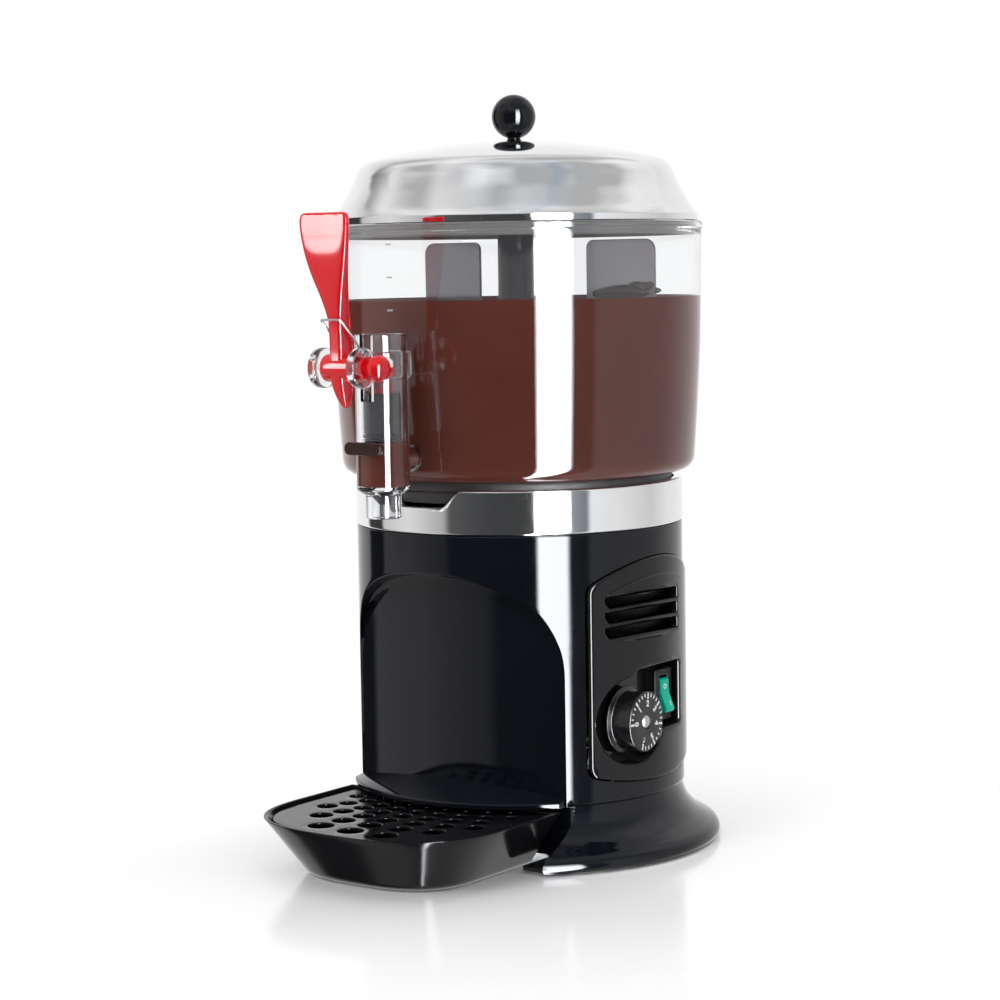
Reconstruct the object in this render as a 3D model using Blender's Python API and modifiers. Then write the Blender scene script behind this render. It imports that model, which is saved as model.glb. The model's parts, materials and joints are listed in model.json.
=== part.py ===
"""Countertop hot drink dispenser: a heated, stirred bowl with a piston tap over a drip tray.

Metres, +Z up, front towards -Y. Every piece hangs from an empty on the machine's upright axis,
and a piece that moves hangs from an empty on its joint's axis.
"""

import math

import bmesh
import bpy
from mathutils import Matrix, Vector

# ---------------------------------------------------------------- driving dimensions, metres
GAP = 0.0003            # between two pieces that touch
CLEARANCE = 0.0006      # round a piece that slides or turns
ROUND = 40              # segments of a large turned piece
SMALL_ROUND = 20        # segments of a small turned piece
FAR = 0.1               # reach of a cutter past what it cuts

CASING_R = 0.105
CASING_WALL = 0.0025
CASING_TOP_Z = 0.2057
DECK_RIM = 0.0075       # flat rim round the opening in the casing's top
DECK_R = CASING_R - DECK_RIM
SEAM_Z = 0.0370         # joint between skirt and casing

FOOT_HEIGHT = 0.0055
FOOT_R = 0.009
FOOT_INSET = 0.014      # middle of a foot inside the casing's wall
FOOT_ANGLES = (30, 150, 220, 320)
BASE_PLATE_T = 0.002

SKIRT_STEP = 0.0015     # casing's overhang at the seam
SKIRT_FLARE = 0.0245    # how far the skirt spreads
SKIRT_WALL = 0.0025
SKIRT_RIM_Z = 0.0015
SKIRT_TOP_R = CASING_R - SKIRT_STEP
SKIRT_R = SKIRT_TOP_R + SKIRT_FLARE

NICHE_HALF_W = 0.0804   # cup space in the front of the casing
NICHE_TOP_Z = 0.1805
NICHE_SHOULDER_Z = 0.115
NICHE_SQUARENESS = 2.4  # power of the arch's superellipse
NICHE_WALL_R = 0.201    # slow curve of the niche's back wall
NICHE_DEPTH = 0.022
NICHE_WALL_F = CASING_R - NICHE_DEPTH   # back wall's distance in front of the axis
LEDGE_STANDS = 0.005    # lip below the niche, over the tray
LEDGE_R = CASING_R + LEDGE_STANDS
LEDGE_Z = 0.041
LEDGE_RISE = 1.0 / 3.0

RING_STANDS = 0.0005
RING_R = CASING_R + RING_STANDS
RING_TOP_Z = 0.2335
RING_WALL = 0.0015
RING_SHELF = 0.0055     # width of the ring's inturned top
NOTCH_Z = 0.2225        # bottom of the tap's notch in the ring
NOTCH_HALF_W = 0.014
NOTCH_MOUTH_HALF_W = 0.029

SHAFT_R = 0.0045
COLUMN_WALL = 0.0034
COLUMN_R = SHAFT_R + CLEARANCE + COLUMN_WALL   # bowl's hollow column
HUB_WALL = 0.0019
HUB_R = COLUMN_R + 0.0011 + HUB_WALL           # stirrer's tall hub
SLEEVE_R = SHAFT_R + 0.008                     # dry sleeve in the water bath
SHAFT_FLAT = 0.8 * SHAFT_R

BATH_R = DECK_R - 0.0015
BATH_FLOOR_Z = 0.188
BATH_WALL = 0.0012

BOWL_BOTTOM_Z = 0.2380
BOWL_HEIGHT = 0.1580
BOWL_WALL = 0.0028
BOWL_FOOT_ROUND = 0.0095
BOWL_FOOT_R = RING_R - 0.0015
BOWL_R_LOW = BOWL_FOOT_R + BOWL_FOOT_ROUND + 0.0010
BOWL_R_TOP = BOWL_R_LOW + 0.0045
BOWL_TOP_Z = BOWL_BOTTOM_Z + BOWL_HEIGHT
SPIGOT_R = RING_R - RING_SHELF - 0.0015        # ring under the bowl that centres it in the chrome ring
SPIGOT_W = 0.010
COLUMN_TOP_Z = BOWL_TOP_Z - 0.024
SHAFT_TOP_Z = COLUMN_TOP_Z + 0.008
HUB_TOP_Z = BOWL_TOP_Z - 0.0035
WING_TOP_Z = BOWL_TOP_Z - 0.011
WING_T = 0.0028
OUTER_WING = (0.055, BOWL_FOOT_R + 0.0010)
INNER_WING = (0.028, 0.073)

LID_R = BOWL_R_TOP - 0.0016
LID_HEIGHT = 0.0525
LID_WALL = 0.0012
LID_APEX_Z = BOWL_TOP_Z + LID_HEIGHT
KNOB_R = 0.0142
KNOB_NECK = 0.0013
KNOB_Z = LID_APEX_Z + KNOB_NECK + KNOB_R

TAP_BORE_R = 0.0125
TAP_WALL = 0.0035
TAP_STANDS = 0.0100     # gap between bowl and tap cylinder
TAP_R = TAP_BORE_R + TAP_WALL
TAP_F = BOWL_R_LOW + TAP_STANDS + TAP_R        # cylinder's distance in front of the axis
TAP_TOP_Z = 0.330
TAP_SEAT_Z = 0.2375
SPOUT_BORE_R = 0.0075
SPOUT_WALL = 0.0033
SPOUT_R = SPOUT_BORE_R + SPOUT_WALL
SPOUT_TIP_Z = 0.2190
NECK_Z = 0.2535
NECK_BORE_R = 0.0055
NECK_WALL = 0.0030
NECK_R = NECK_BORE_R + NECK_WALL
COLLAR_T = 0.0022

PIVOT_REACH = 0.0205    # pivot in front of the tap cylinder
PIVOT_F = TAP_F + TAP_R + PIVOT_REACH
PIVOT_Z = 0.3110
EAR_R = 0.0120
EAR_T = 0.0055
EAR_X = TAP_BORE_R + 0.0020   # middle of each ear
ARM_H = 0.012
PIN_R = 0.0038
HUB_LEVER_R = PIN_R + 0.0045
FINGER_W = 0.0060
FINGER_DROP = 0.0085    # lifting finger's middle below the pivot
FINGER_T = 0.0040
FINGER_PLAY = 0.0100    # height of the piston's window for the finger
STOP_BAR = (0.028, 0.0040, 0.0078)
STOP_BAR_Z = 0.2620

TRAY_REACH = 0.0960     # tray's front beyond the casing
TRAY_FRONT = CASING_R + TRAY_REACH
TRAY_BACK = NICHE_WALL_F - 0.0065
TRAY_RIM_Z = 0.0362
TRAY_FLOOR_Z = 0.0010
TRAY_HALF_W = 0.0822
TRAY_TAPER = 0.0240     # how far the walls lean in from rim to floor
TRAY_NOSE = 0.0760      # length of the rounded front
TRAY_SHOULDER = TRAY_FRONT - TRAY_NOSE
TRAY_SQUARENESS = 2.8   # power of the front's superellipse
TRAY_WALL = 0.0022
POST_X = 0.034
POST_R = 0.003
APRON_F = TRAY_BACK - 0.0115
GRID_DROP = 0.0018      # grid's face below the rim
GRID_T = 0.0022
HOLE_ROW_R = TRAY_FRONT - 0.0225   # outermost row of drain holes, about the machine's axis
HOLE_ROW_RATIO = 0.896
HOLE_ROW_COUNT = 6
HOLE_STEP = math.radians(7.85)
HOLE_SHARE = 0.045      # hole radius as a share of its row's radius
HOLE_EDGE = 0.0055      # least width of plate outside a hole's middle

PANEL_STANDS = 0.0018
PANEL_R = CASING_R + PANEL_STANDS
PANEL_HALF_W = 0.0560
PANEL_TOP_Z = 0.1880
PANEL_BOTTOM_Z = 0.0475
PANEL_TOP_ARC_R = 0.110
PANEL_BOTTOM_ARC_R = 0.237
PANEL_CORNER_R = 0.008
PANEL_LIP = 0.004
POCKET_DEPTH = 0.0153
POCKET_X = PANEL_R - POCKET_DEPTH  # floor of the panel's recess
POCKET_WALL = 0.002
POCKET_Z = (0.0780, 0.1185)
POCKET_F = -0.0290
VENT_Z = (0.1620, 0.1525, 0.1430)
VENT_H = 0.0070
VENT_F = (-0.026, 0.046)

DIAL_F = 0.0245
DIAL_Z = 0.0870
DIAL_R = 0.0190
DIAL_STANDS = 0.0205    # dial's face above the recess floor
FLANGE_W = 0.0020
DIAL_FLANGE_R = DIAL_R + FLANGE_W
POCKET_ROUND_R = DIAL_FLANGE_R + 0.0065
SPINDLE_R = 0.003

SWITCH_F = -0.0165
SWITCH_Z = 0.0970
SWITCH_W = 0.0200
SWITCH_H = 0.0330
SWITCH_STANDS = 0.0070
SWITCH_FACE_X = POCKET_X + SWITCH_STANDS
SWITCH_RIM = 0.002      # frame's overhang on the recess floor
ROCKER_W = 0.0095
ROCKER_H = 0.0225

CORD_Z = 0.0620         # cord inlet at the back
CORD_HOLE_R = 0.0070
CORD_BORE_R = 0.0042

GEAR_TOP_Z = 0.150
BRIDGE_T = 0.002
BRIDGE_HALF_W = 0.074

AXIS_Y = (TRAY_FRONT - SKIRT_R) / 2   # puts the middle of the footprint at the origin

# ---------------------------------------------------------------- scene and helpers
for old in list(bpy.data.objects):
    bpy.data.objects.remove(old, do_unlink=True)

parts = bpy.data.collections.new("drink_dispenser")
cutters = bpy.data.collections.new("cutters")
for group in (parts, cutters):
    bpy.context.scene.collection.children.link(group)
cutters.hide_render = True


def finish(name, colour, roughness, metallic=0.0, alpha=1.0):
    """A Principled material of one colour."""
    material = bpy.data.materials.new(name)
    material.use_nodes = True
    shader = material.node_tree.nodes["Principled BSDF"]
    shader.inputs["Base Color"].default_value = (*colour, 1.0)
    shader.inputs["Roughness"].default_value = roughness
    shader.inputs["Metallic"].default_value = metallic
    shader.inputs["Alpha"].default_value = alpha
    return material


BLACK = finish("gloss_black", (0.012, 0.013, 0.016), 0.15)
SATIN_BLACK = finish("satin_black", (0.015, 0.015, 0.016), 0.45)
CHROME = finish("polished_steel", (0.80, 0.80, 0.80), 0.08, 1.0)
STEEL = finish("plain_steel", (0.55, 0.56, 0.57), 0.35, 1.0)
CLEAR = finish("clear_plastic", (0.92, 0.93, 0.94), 0.03, 0.0, 0.3)
SMOKE = finish("smoked_plastic", (0.30, 0.29, 0.31), 0.2, 0.0, 0.6)
RED = finish("red_plastic", (0.72, 0.02, 0.03), 0.25)
GREEN = finish("green_plastic", (0.0, 0.35, 0.22), 0.25)
RUBBER = finish("dark_rubber", (0.05, 0.04, 0.04), 0.7)
SILICONE = finish("grey_silicone", (0.35, 0.34, 0.33), 0.6)
BROWN = finish("brown_plastic", (0.06, 0.025, 0.018), 0.4)
PAINT = finish("motor_paint", (0.10, 0.11, 0.13), 0.5)


def empty(name, parent=None, at=(0, 0, 0)):
    """A frame that pieces hang from. Its place is given under its parent."""
    frame = bpy.data.objects.new(name, None)
    frame.location = at
    frame.parent = parent
    parts.objects.link(frame)
    return frame


machine = empty("machine_axis", at=(0, AXIS_Y, 0))


def add(name, data, material, parent=machine, at=(0, 0, 0), turn=(0, 0, 0)):
    """Puts mesh or curve data into the scene as a piece, or as a cutter when it has no material."""
    piece = bpy.data.objects.new(name, data)
    piece.location = at
    piece.rotation_euler = turn
    piece.parent = parent
    if material is None:
        piece.hide_render = True
        piece.display_type = "WIRE"
        cutters.objects.link(piece)
    else:
        data.materials.append(material)
        parts.objects.link(piece)
    return piece


def smooth(piece, angle=35):
    piece.data.shade_smooth()
    piece.data.set_sharp_from_angle(angle=math.radians(angle))
    return piece


def turned(name, profile, material, closed=False, segments=ROUND, **place):
    """Screws a profile of (radius, height) points about Z. A closed one makes a ring."""
    mesh = bpy.data.meshes.new(name)
    count = len(profile)
    last = count if closed else count - 1
    edges = [(i, (i + 1) % count) for i in range(last)]
    mesh.from_pydata([(r, 0, z) for r, z in profile], edges, [])
    piece = add(name, mesh, material, **place)
    screw = piece.modifiers.new("turn", "SCREW")
    screw.steps = screw.render_steps = segments
    screw.use_merge_vertices = True
    screw.merge_threshold = 0.00001
    screw.use_smooth_shade = True
    return piece


def block(name, size, at, material=None, parent=machine, turn=(0, 0, 0), bevel=0.0):
    """A box with an optional small round on its edges."""
    shape = bmesh.new()
    bmesh.ops.create_cube(shape, size=1.0, matrix=Matrix.Diagonal((*size, 1.0)))
    mesh = bpy.data.meshes.new(name)
    shape.to_mesh(mesh)
    shape.free()
    piece = add(name, mesh, material, parent, at, turn)
    if bevel:
        edge = piece.modifiers.new("edges", "BEVEL")
        edge.width = bevel
        edge.segments = 2
    return piece


ALONG_X = (0, math.pi / 2, 0)
ALONG_Y = (math.pi / 2, 0, 0)
FACING_FRONT = (math.pi / 2, 0, 0)                  # outline x, y become machine x, z
FACING_SIDE = (math.pi / 2, 0, math.pi / 2)         # outline x, y become machine y, z


def rod(name, radius, length, at, material=None, parent=machine, turn=(0, 0, 0), segments=SMALL_ROUND,
        end_radius=None):
    """A cylinder or cone centred on its place, along Z until it is turned."""
    shape = bmesh.new()
    bmesh.ops.create_cone(
        shape, cap_ends=True, segments=segments, radius1=radius,
        radius2=radius if end_radius is None else end_radius, depth=length)
    mesh = bpy.data.meshes.new(name)
    shape.to_mesh(mesh)
    shape.free()
    return smooth(add(name, mesh, material, parent, at, turn))


def prism(name, outline, thickness, material=None, parent=machine, at=(0, 0, 0), turn=(0, 0, 0)):
    """A flat outline given thickness, as a welded mesh that Booleans can use."""
    curve = bpy.data.curves.new(name, "CURVE")
    curve.dimensions = "2D"
    curve.fill_mode = "BOTH"
    curve.extrude = thickness / 2
    spline = curve.splines.new("POLY")
    spline.points.add(len(outline) - 1)
    for point, (x, y) in zip(spline.points, outline):
        point.co = (x, y, 0, 1)
    spline.use_cyclic_u = True
    return mesh_of_curve(name, curve, material, parent, at, turn)


def mesh_of_curve(name, curve, material, parent, at, turn=(0, 0, 0)):
    """Turns a curve into a closed mesh and places it."""
    holder = bpy.data.objects.new(name + "_curve", curve)
    bpy.context.scene.collection.objects.link(holder)
    bpy.context.view_layer.update()
    mesh = bpy.data.meshes.new_from_object(holder.evaluated_get(bpy.context.evaluated_depsgraph_get()))
    mesh.name = name
    bpy.data.objects.remove(holder)
    shape = bmesh.new()
    shape.from_mesh(mesh)
    bmesh.ops.remove_doubles(shape, verts=shape.verts, dist=0.000001)
    bmesh.ops.recalc_face_normals(shape, faces=shape.faces)
    shape.to_mesh(mesh)
    shape.free()
    return add(name, mesh, material, parent, at, turn)


def wire(name, points, radius, material, parent=machine, at=(0, 0, 0), closed=False, sides=2):
    """A bent round wire through the points."""
    curve = bpy.data.curves.new(name, "CURVE")
    curve.dimensions = "3D"
    curve.bevel_depth = radius
    curve.bevel_resolution = sides
    curve.use_fill_caps = True
    spline = curve.splines.new("POLY")
    spline.points.add(len(points) - 1)
    for point, place in zip(spline.points, points):
        point.co = (*place, 1)
    spline.use_cyclic_u = closed
    return mesh_of_curve(name, curve, material, parent, at)


def boolean(piece, other, operation):
    step = piece.modifiers.new(operation.lower() + "_" + other.name, "BOOLEAN")
    step.object = other
    step.operation = operation
    return piece


def cut(piece, *others):
    for other in others:
        boolean(piece, other, "DIFFERENCE")
    return piece


def join(piece, *others):
    for other in others:
        boolean(piece, other, "UNION")
    return piece


def keep(piece, other):
    return boolean(piece, other, "INTERSECT")


def use_manifold(piece):
    """For a piece whose faces nearly coincide, where the exact solver leaves open edges."""
    for step in piece.modifiers:
        if step.type == "BOOLEAN":
            step.solver = "MANIFOLD"


def rounded(corners, steps=4):
    """An outline whose corners (x, y, radius) are rounded by arcs."""
    outline = []
    count = len(corners)
    for i, (x, y, radius) in enumerate(corners):
        here = Vector((x, y))
        if radius == 0:
            outline.append((x, y))
            continue
        back = (Vector(corners[i - 1][:2]) - here).normalized()
        ahead = (Vector(corners[(i + 1) % count][:2]) - here).normalized()
        half = back.angle(ahead) / 2
        centre = here + (back + ahead).normalized() * radius / math.sin(half)
        start = here + back * radius / math.tan(half) - centre
        sweep = math.pi - 2 * half
        side = 1 if back.x * ahead.y - back.y * ahead.x < 0 else -1
        for k in range(steps + 1):
            arm = Matrix.Rotation(side * sweep * k / steps, 2) @ start
            outline.append(tuple(centre + arm))
    return outline


def loft(name, sections, material, parent=machine, at=(0, 0, 0)):
    """Skins closed rings of points, each ring the same length, and caps both ends."""
    shape = bmesh.new()
    rings = [[shape.verts.new(point) for point in ring] for ring in sections]
    count = len(rings[0])
    for low, high in zip(rings, rings[1:]):
        for i in range(count):
            j = (i + 1) % count
            shape.faces.new((low[i], low[j], high[j], high[i]))
    shape.faces.new(rings[0][::-1])
    shape.faces.new(rings[-1])
    bmesh.ops.recalc_face_normals(shape, faces=shape.faces)
    mesh = bpy.data.meshes.new(name)
    shape.to_mesh(mesh)
    shape.free()
    return smooth(add(name, mesh, material, parent, at))


def arc(centre, radius, start, end, steps):
    """Points on a circle from one angle to another, in degrees."""
    angles = [math.radians(start + (end - start) * k / steps) for k in range(steps + 1)]
    return [(centre[0] + radius * math.cos(a), centre[1] + radius * math.sin(a)) for a in angles]


# ---------------------------------------------------------------- casing
def niche_outline(grow):
    """Half superellipse over straight sides: the front view of the cup space, grown all round."""
    half_w = NICHE_HALF_W + grow
    rise = NICHE_TOP_Z + grow - NICHE_SHOULDER_Z
    power = 2 / NICHE_SQUARENESS
    steps = 22
    outline = [(half_w, SEAM_Z - 0.01)]
    for k in range(steps + 1):
        a = math.pi * k / steps
        x = math.copysign(abs(math.cos(a)) ** power, math.cos(a)) * half_w
        outline.append((x, NICHE_SHOULDER_Z + max(math.sin(a), 0) ** power * rise))
    outline.append((-half_w, SEAM_Z - 0.01))
    return outline


def ledge_height(radius):
    """Height of the sloping floor under the niche."""
    return LEDGE_Z + (LEDGE_R - radius) * LEDGE_RISE


def niche(name, grow):
    """The cup space: its outline in front of the curved back wall and above the sloping ledge."""
    deep = 0.070
    space = prism(
        name, niche_outline(grow), deep, at=(0, -(NICHE_WALL_F - 0.033 + deep / 2), 0), turn=FACING_FRONT)
    wall = rod(name + "_wall", NICHE_WALL_R - grow, 0.3, (0, NICHE_WALL_R - NICHE_WALL_F, 0.15), segments=120)
    reach = LEDGE_R + 0.015
    floor = turned(
        name + "_floor",
        [(0, ledge_height(0) - grow), (reach, ledge_height(reach) - grow), (reach, 0), (0, 0)], None)
    return cut(space, wall, floor)


def panel_outline(grow):
    """Side view of the control panel: straight sides between a top and a bottom arc."""
    half_w = PANEL_HALF_W + grow
    top_r = PANEL_TOP_ARC_R + grow
    bottom_r = PANEL_BOTTOM_ARC_R + grow
    top_sweep = math.degrees(math.asin(half_w / top_r))
    bottom_sweep = math.degrees(math.asin(half_w / bottom_r))
    top_centre = (0, PANEL_TOP_Z - PANEL_TOP_ARC_R)
    bottom_centre = (0, PANEL_BOTTOM_Z + PANEL_BOTTOM_ARC_R)
    top = arc(top_centre, top_r, 90 - top_sweep, 90 + top_sweep, 6)
    bottom = arc(bottom_centre, bottom_r, 270 - bottom_sweep, 270 + bottom_sweep, 4)
    corners = []
    for run in (top, bottom):
        for k, (x, y) in enumerate(run):
            at_end = k in (0, len(run) - 1)
            corners.append((x, y, PANEL_CORNER_R + grow if at_end else 0))
    return rounded(corners)


def casing():
    """The black shell with its niche, ledge, panel opening and cord hole."""
    body = turned(
        "body_shell",
        [(0, CASING_TOP_Z), (CASING_R, CASING_TOP_Z), (CASING_R, SEAM_Z + GAP), (0, SEAM_Z + GAP)], BLACK)
    inner_r = CASING_R - CASING_WALL
    cavity = turned(
        "casing_cavity",
        [(0, CASING_TOP_Z + 0.001), (DECK_R, CASING_TOP_Z + 0.001), (DECK_R, CASING_TOP_Z - CASING_WALL),
         (inner_r, CASING_TOP_Z - CASING_WALL), (inner_r, SEAM_Z - 0.001), (0, SEAM_Z - 0.001)], None)
    cut(cavity, niche("niche_outside", CASING_WALL))
    lip_in = CASING_R - 0.0015
    lip = turned(
        "ledge_lip",
        [(lip_in, ledge_height(lip_in)), (LEDGE_R, ledge_height(LEDGE_R)), (LEDGE_R, SEAM_Z + GAP),
         (lip_in, SEAM_Z + GAP)], None, closed=True, segments=ROUND)
    lip_w = 2 * NICHE_HALF_W + 0.002
    keep(lip, block("lip_sector", (lip_w, 0.07, 0.02), (0, -(NICHE_WALL_F + 0.007), SEAM_Z)))
    panel_hole = prism("panel_hole", panel_outline(GAP), 0.05, at=(CASING_R, 0, 0), turn=FACING_SIDE)
    cord_hole = rod("cord_hole", CORD_HOLE_R, 0.02, (0, CASING_R, CORD_Z), turn=ALONG_Y)
    cut(body, niche("niche_inside", 0.0))
    join(body, lip)
    cut(body, cavity, panel_hole, cord_hole)
    return body


def skirt():
    """Bell-shaped foot, open at the front for the tray, with an apron behind the tray."""
    spread = [(0.0, SEAM_Z), (0.029, 0.0325), (0.163, 0.0245), (0.408, 0.0175), (0.673, 0.0130), (0.869, 0.0100),
              (0.967, 0.0072), (1.0, 0.0040), (0.951, SKIRT_RIM_Z)]
    outer = [(SKIRT_TOP_R + share * SKIRT_FLARE, z) for share, z in spread]
    inner = [(r - SKIRT_WALL, z - (SKIRT_WALL * 0.8 if 1 < k < 7 else 0)) for k, (r, z) in enumerate(outer)]
    inner = inner[::2]
    body = turned("foot_skirt", outer + inner[::-1], BLACK, closed=True)
    opening = block(
        "skirt_opening", (2 * (TRAY_HALF_W + CLEARANCE), FAR, FAR), (0, -(APRON_F + FAR / 2), SEAM_Z / 2))
    apron_low = FOOT_HEIGHT + GAP
    apron = block(
        "skirt_apron", (2 * (TRAY_HALF_W + 0.004), SKIRT_WALL, SEAM_Z - apron_low),
        (0, -(APRON_F + SKIRT_WALL / 2), (SEAM_Z + apron_low) / 2))
    keep(apron, turned("apron_limit", [(0, SEAM_Z), (SKIRT_TOP_R, SEAM_Z), (SKIRT_TOP_R, 0), (0, 0)], None))
    cut(body, opening)
    return join(body, apron)


def base():
    """Steel plate that closes the underside, on four rubber feet."""
    r = SKIRT_TOP_R - SKIRT_WALL - 0.001
    plate = turned(
        "base_plate",
        [(0, FOOT_HEIGHT + BASE_PLATE_T), (r, FOOT_HEIGHT + BASE_PLATE_T), (r, FOOT_HEIGHT), (0, FOOT_HEIGHT)],
        STEEL)
    cut(plate, block("plate_front", (2 * SKIRT_R, FAR, FAR), (0, -(APRON_F - 0.0005 + FAR / 2), 0)))
    for k in range(6):
        slot = block("plate_vent_%d" % (k + 1), (0.05, 0.005, 0.02), (0, 0.030 + 0.010 * k, FOOT_HEIGHT))
        cut(plate, slot)
    circle_r = CASING_R - FOOT_INSET
    for k, degrees in enumerate(FOOT_ANGLES):
        a = math.radians(degrees)
        at = (circle_r * math.cos(a), circle_r * math.sin(a), 0)
        turned(
            "foot_%d" % (k + 1),
            [(0, FOOT_HEIGHT - GAP), (FOOT_R, FOOT_HEIGHT - GAP), (FOOT_R * 0.86, 0.001), (FOOT_R * 0.75, 0),
             (0, 0)], RUBBER, segments=16, at=at)


# ---------------------------------------------------------------- heated top
def ring():
    """Polished collar round the casing's top, notched for the tap."""
    low = CASING_TOP_Z + GAP
    r = RING_R
    body = turned(
        "chrome_ring",
        [(r - RING_SHELF, RING_TOP_Z), (r - 0.0012, RING_TOP_Z), (r, RING_TOP_Z - 0.0012), (r, low + 0.001),
         (r - 0.001, low), (r - RING_WALL - 0.001, low), (r - RING_WALL, low + 0.001),
         (r - RING_WALL, RING_TOP_Z - 0.002), (r - RING_SHELF, RING_TOP_Z - 0.002)], CHROME, closed=True)
    outline = [(NOTCH_HALF_W, NOTCH_Z), (NOTCH_MOUTH_HALF_W, RING_TOP_Z + 0.001),
               (-NOTCH_MOUTH_HALF_W, RING_TOP_Z + 0.001), (-NOTCH_HALF_W, NOTCH_Z)]
    return cut(body, prism("ring_notch", outline, 0.03, at=(0, -RING_R, 0), turn=FACING_FRONT))


def bath():
    """Stainless water jacket under the bowl, with a dry sleeve for the shaft."""
    top = NOTCH_Z - 0.001
    floor = BATH_FLOOR_Z
    wall = BATH_WALL
    turned(
        "water_bath",
        [(BATH_R, top), (BATH_R, floor), (SLEEVE_R, floor), (SLEEVE_R, top), (SLEEVE_R + wall, top),
         (SLEEVE_R + wall, floor + wall), (BATH_R - wall, floor + wall), (BATH_R - wall, top)],
        STEEL, closed=True)
    element_z = floor - 0.0045
    count = 26
    turn_r = (BATH_R + SLEEVE_R) / 2 + 0.0078
    points = []
    for k in range(count + 1):
        a = math.radians(100 + 340 * k / count)
        points.append((turn_r * math.cos(a), turn_r * math.sin(a), element_z))
    for end, index in ((points[0], 0), (points[-1], len(points))):
        points.insert(index, (end[0] * 1.02, end[1] * 1.02, element_z - 0.014))
    wire("heating_element", points, 0.0036, STEEL)
    rod("bath_thermostat", 0.008, 0.010, (-0.034, 0.0, floor - 0.0056), SATIN_BLACK)


# ---------------------------------------------------------------- drive
def drive():
    """Gear motor on a bridge, and the shaft that runs up through the bowl."""
    gear_top = GEAR_TOP_Z
    plate_z = gear_top + GAP + BRIDGE_T / 2
    toe_z = FOOT_HEIGHT + BASE_PLATE_T + 0.0005 + BRIDGE_T / 2
    block("gearbox", (0.060, 0.075, 0.030), (0, 0.012, gear_top - 0.015), PAINT, bevel=0.002)
    rod("motor", 0.029, 0.055, (0, 0.018, gear_top - 0.030 - GAP - 0.0275), PAINT, segments=28)
    strap = block("motor_bridge", (2 * BRIDGE_HALF_W + BRIDGE_T, 0.040, BRIDGE_T), (0, 0.012, plate_z), STEEL)
    cut(strap, rod("bridge_hole", SHAFT_R + 0.0055, 0.01, (0, 0, gear_top)))
    for side in (-1, 1):
        leg = block(
            "bridge_leg_%d" % (side + 2), (BRIDGE_T, 0.030, plate_z - toe_z + BRIDGE_T / 2),
            (side * BRIDGE_HALF_W, 0.012, (plate_z + toe_z) / 2))
        foot = block(
            "bridge_toe_%d" % (side + 2), (0.014, 0.030, BRIDGE_T), (side * (BRIDGE_HALF_W - 0.006), 0.012, toe_z))
        join(strap, leg, foot)
    axle = empty("drive_axis", machine)
    shaft = turned(
        "drive_shaft",
        [(0, SHAFT_TOP_Z), (SHAFT_R - 0.001, SHAFT_TOP_Z), (SHAFT_R, SHAFT_TOP_Z - 0.001),
         (SHAFT_R, gear_top + 0.004), (SHAFT_R + 0.0035, gear_top + 0.004), (SHAFT_R + 0.0035, gear_top + GAP),
         (0, gear_top + GAP)], STEEL, segments=20, parent=axle)
    for side in (-1, 1):
        cut(shaft, block(
            "shaft_flat_%d" % (side + 2), (0.01, 0.01, 0.02),
            (0, side * (SHAFT_FLAT + 0.005), SHAFT_TOP_Z - 0.0035), parent=axle))
    turned(
        "shaft_seal",
        [(SHAFT_R + CLEARANCE, BATH_FLOOR_Z + 0.012), (SLEEVE_R - GAP, BATH_FLOOR_Z + 0.012),
         (SLEEVE_R - GAP, BATH_FLOOR_Z + 0.003), (SHAFT_R + CLEARANCE, BATH_FLOOR_Z + 0.003)],
        RUBBER, closed=True, segments=SMALL_ROUND)


# ---------------------------------------------------------------- controls
def panel_pocket(name, grow, low_x, high_x):
    """The recess: a round for the dial run into a box for the switch."""
    middle = (low_x + high_x) / 2
    low, high = POCKET_Z[0] - grow, POCKET_Z[1] + grow
    right = -POCKET_F + grow
    outline = rounded([
        (-DIAL_F, low, 0), (right, low, 0.003 + grow), (right, high, 0.003 + grow), (-DIAL_F, high, 0)])
    hollow = prism(name, outline, high_x - low_x, at=(middle, 0, 0), turn=FACING_SIDE)
    disc = rod(
        name + "_round", POCKET_ROUND_R + grow, high_x - low_x + 0.0004, (middle, -DIAL_F, DIAL_Z),
        turn=ALONG_X, segments=40)
    return join(hollow, disc)


def solid_of_turning(name, radius, high, low, material=None):
    return turned(name, [(0, high), (radius, high), (radius, low), (0, low)], material)


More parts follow.
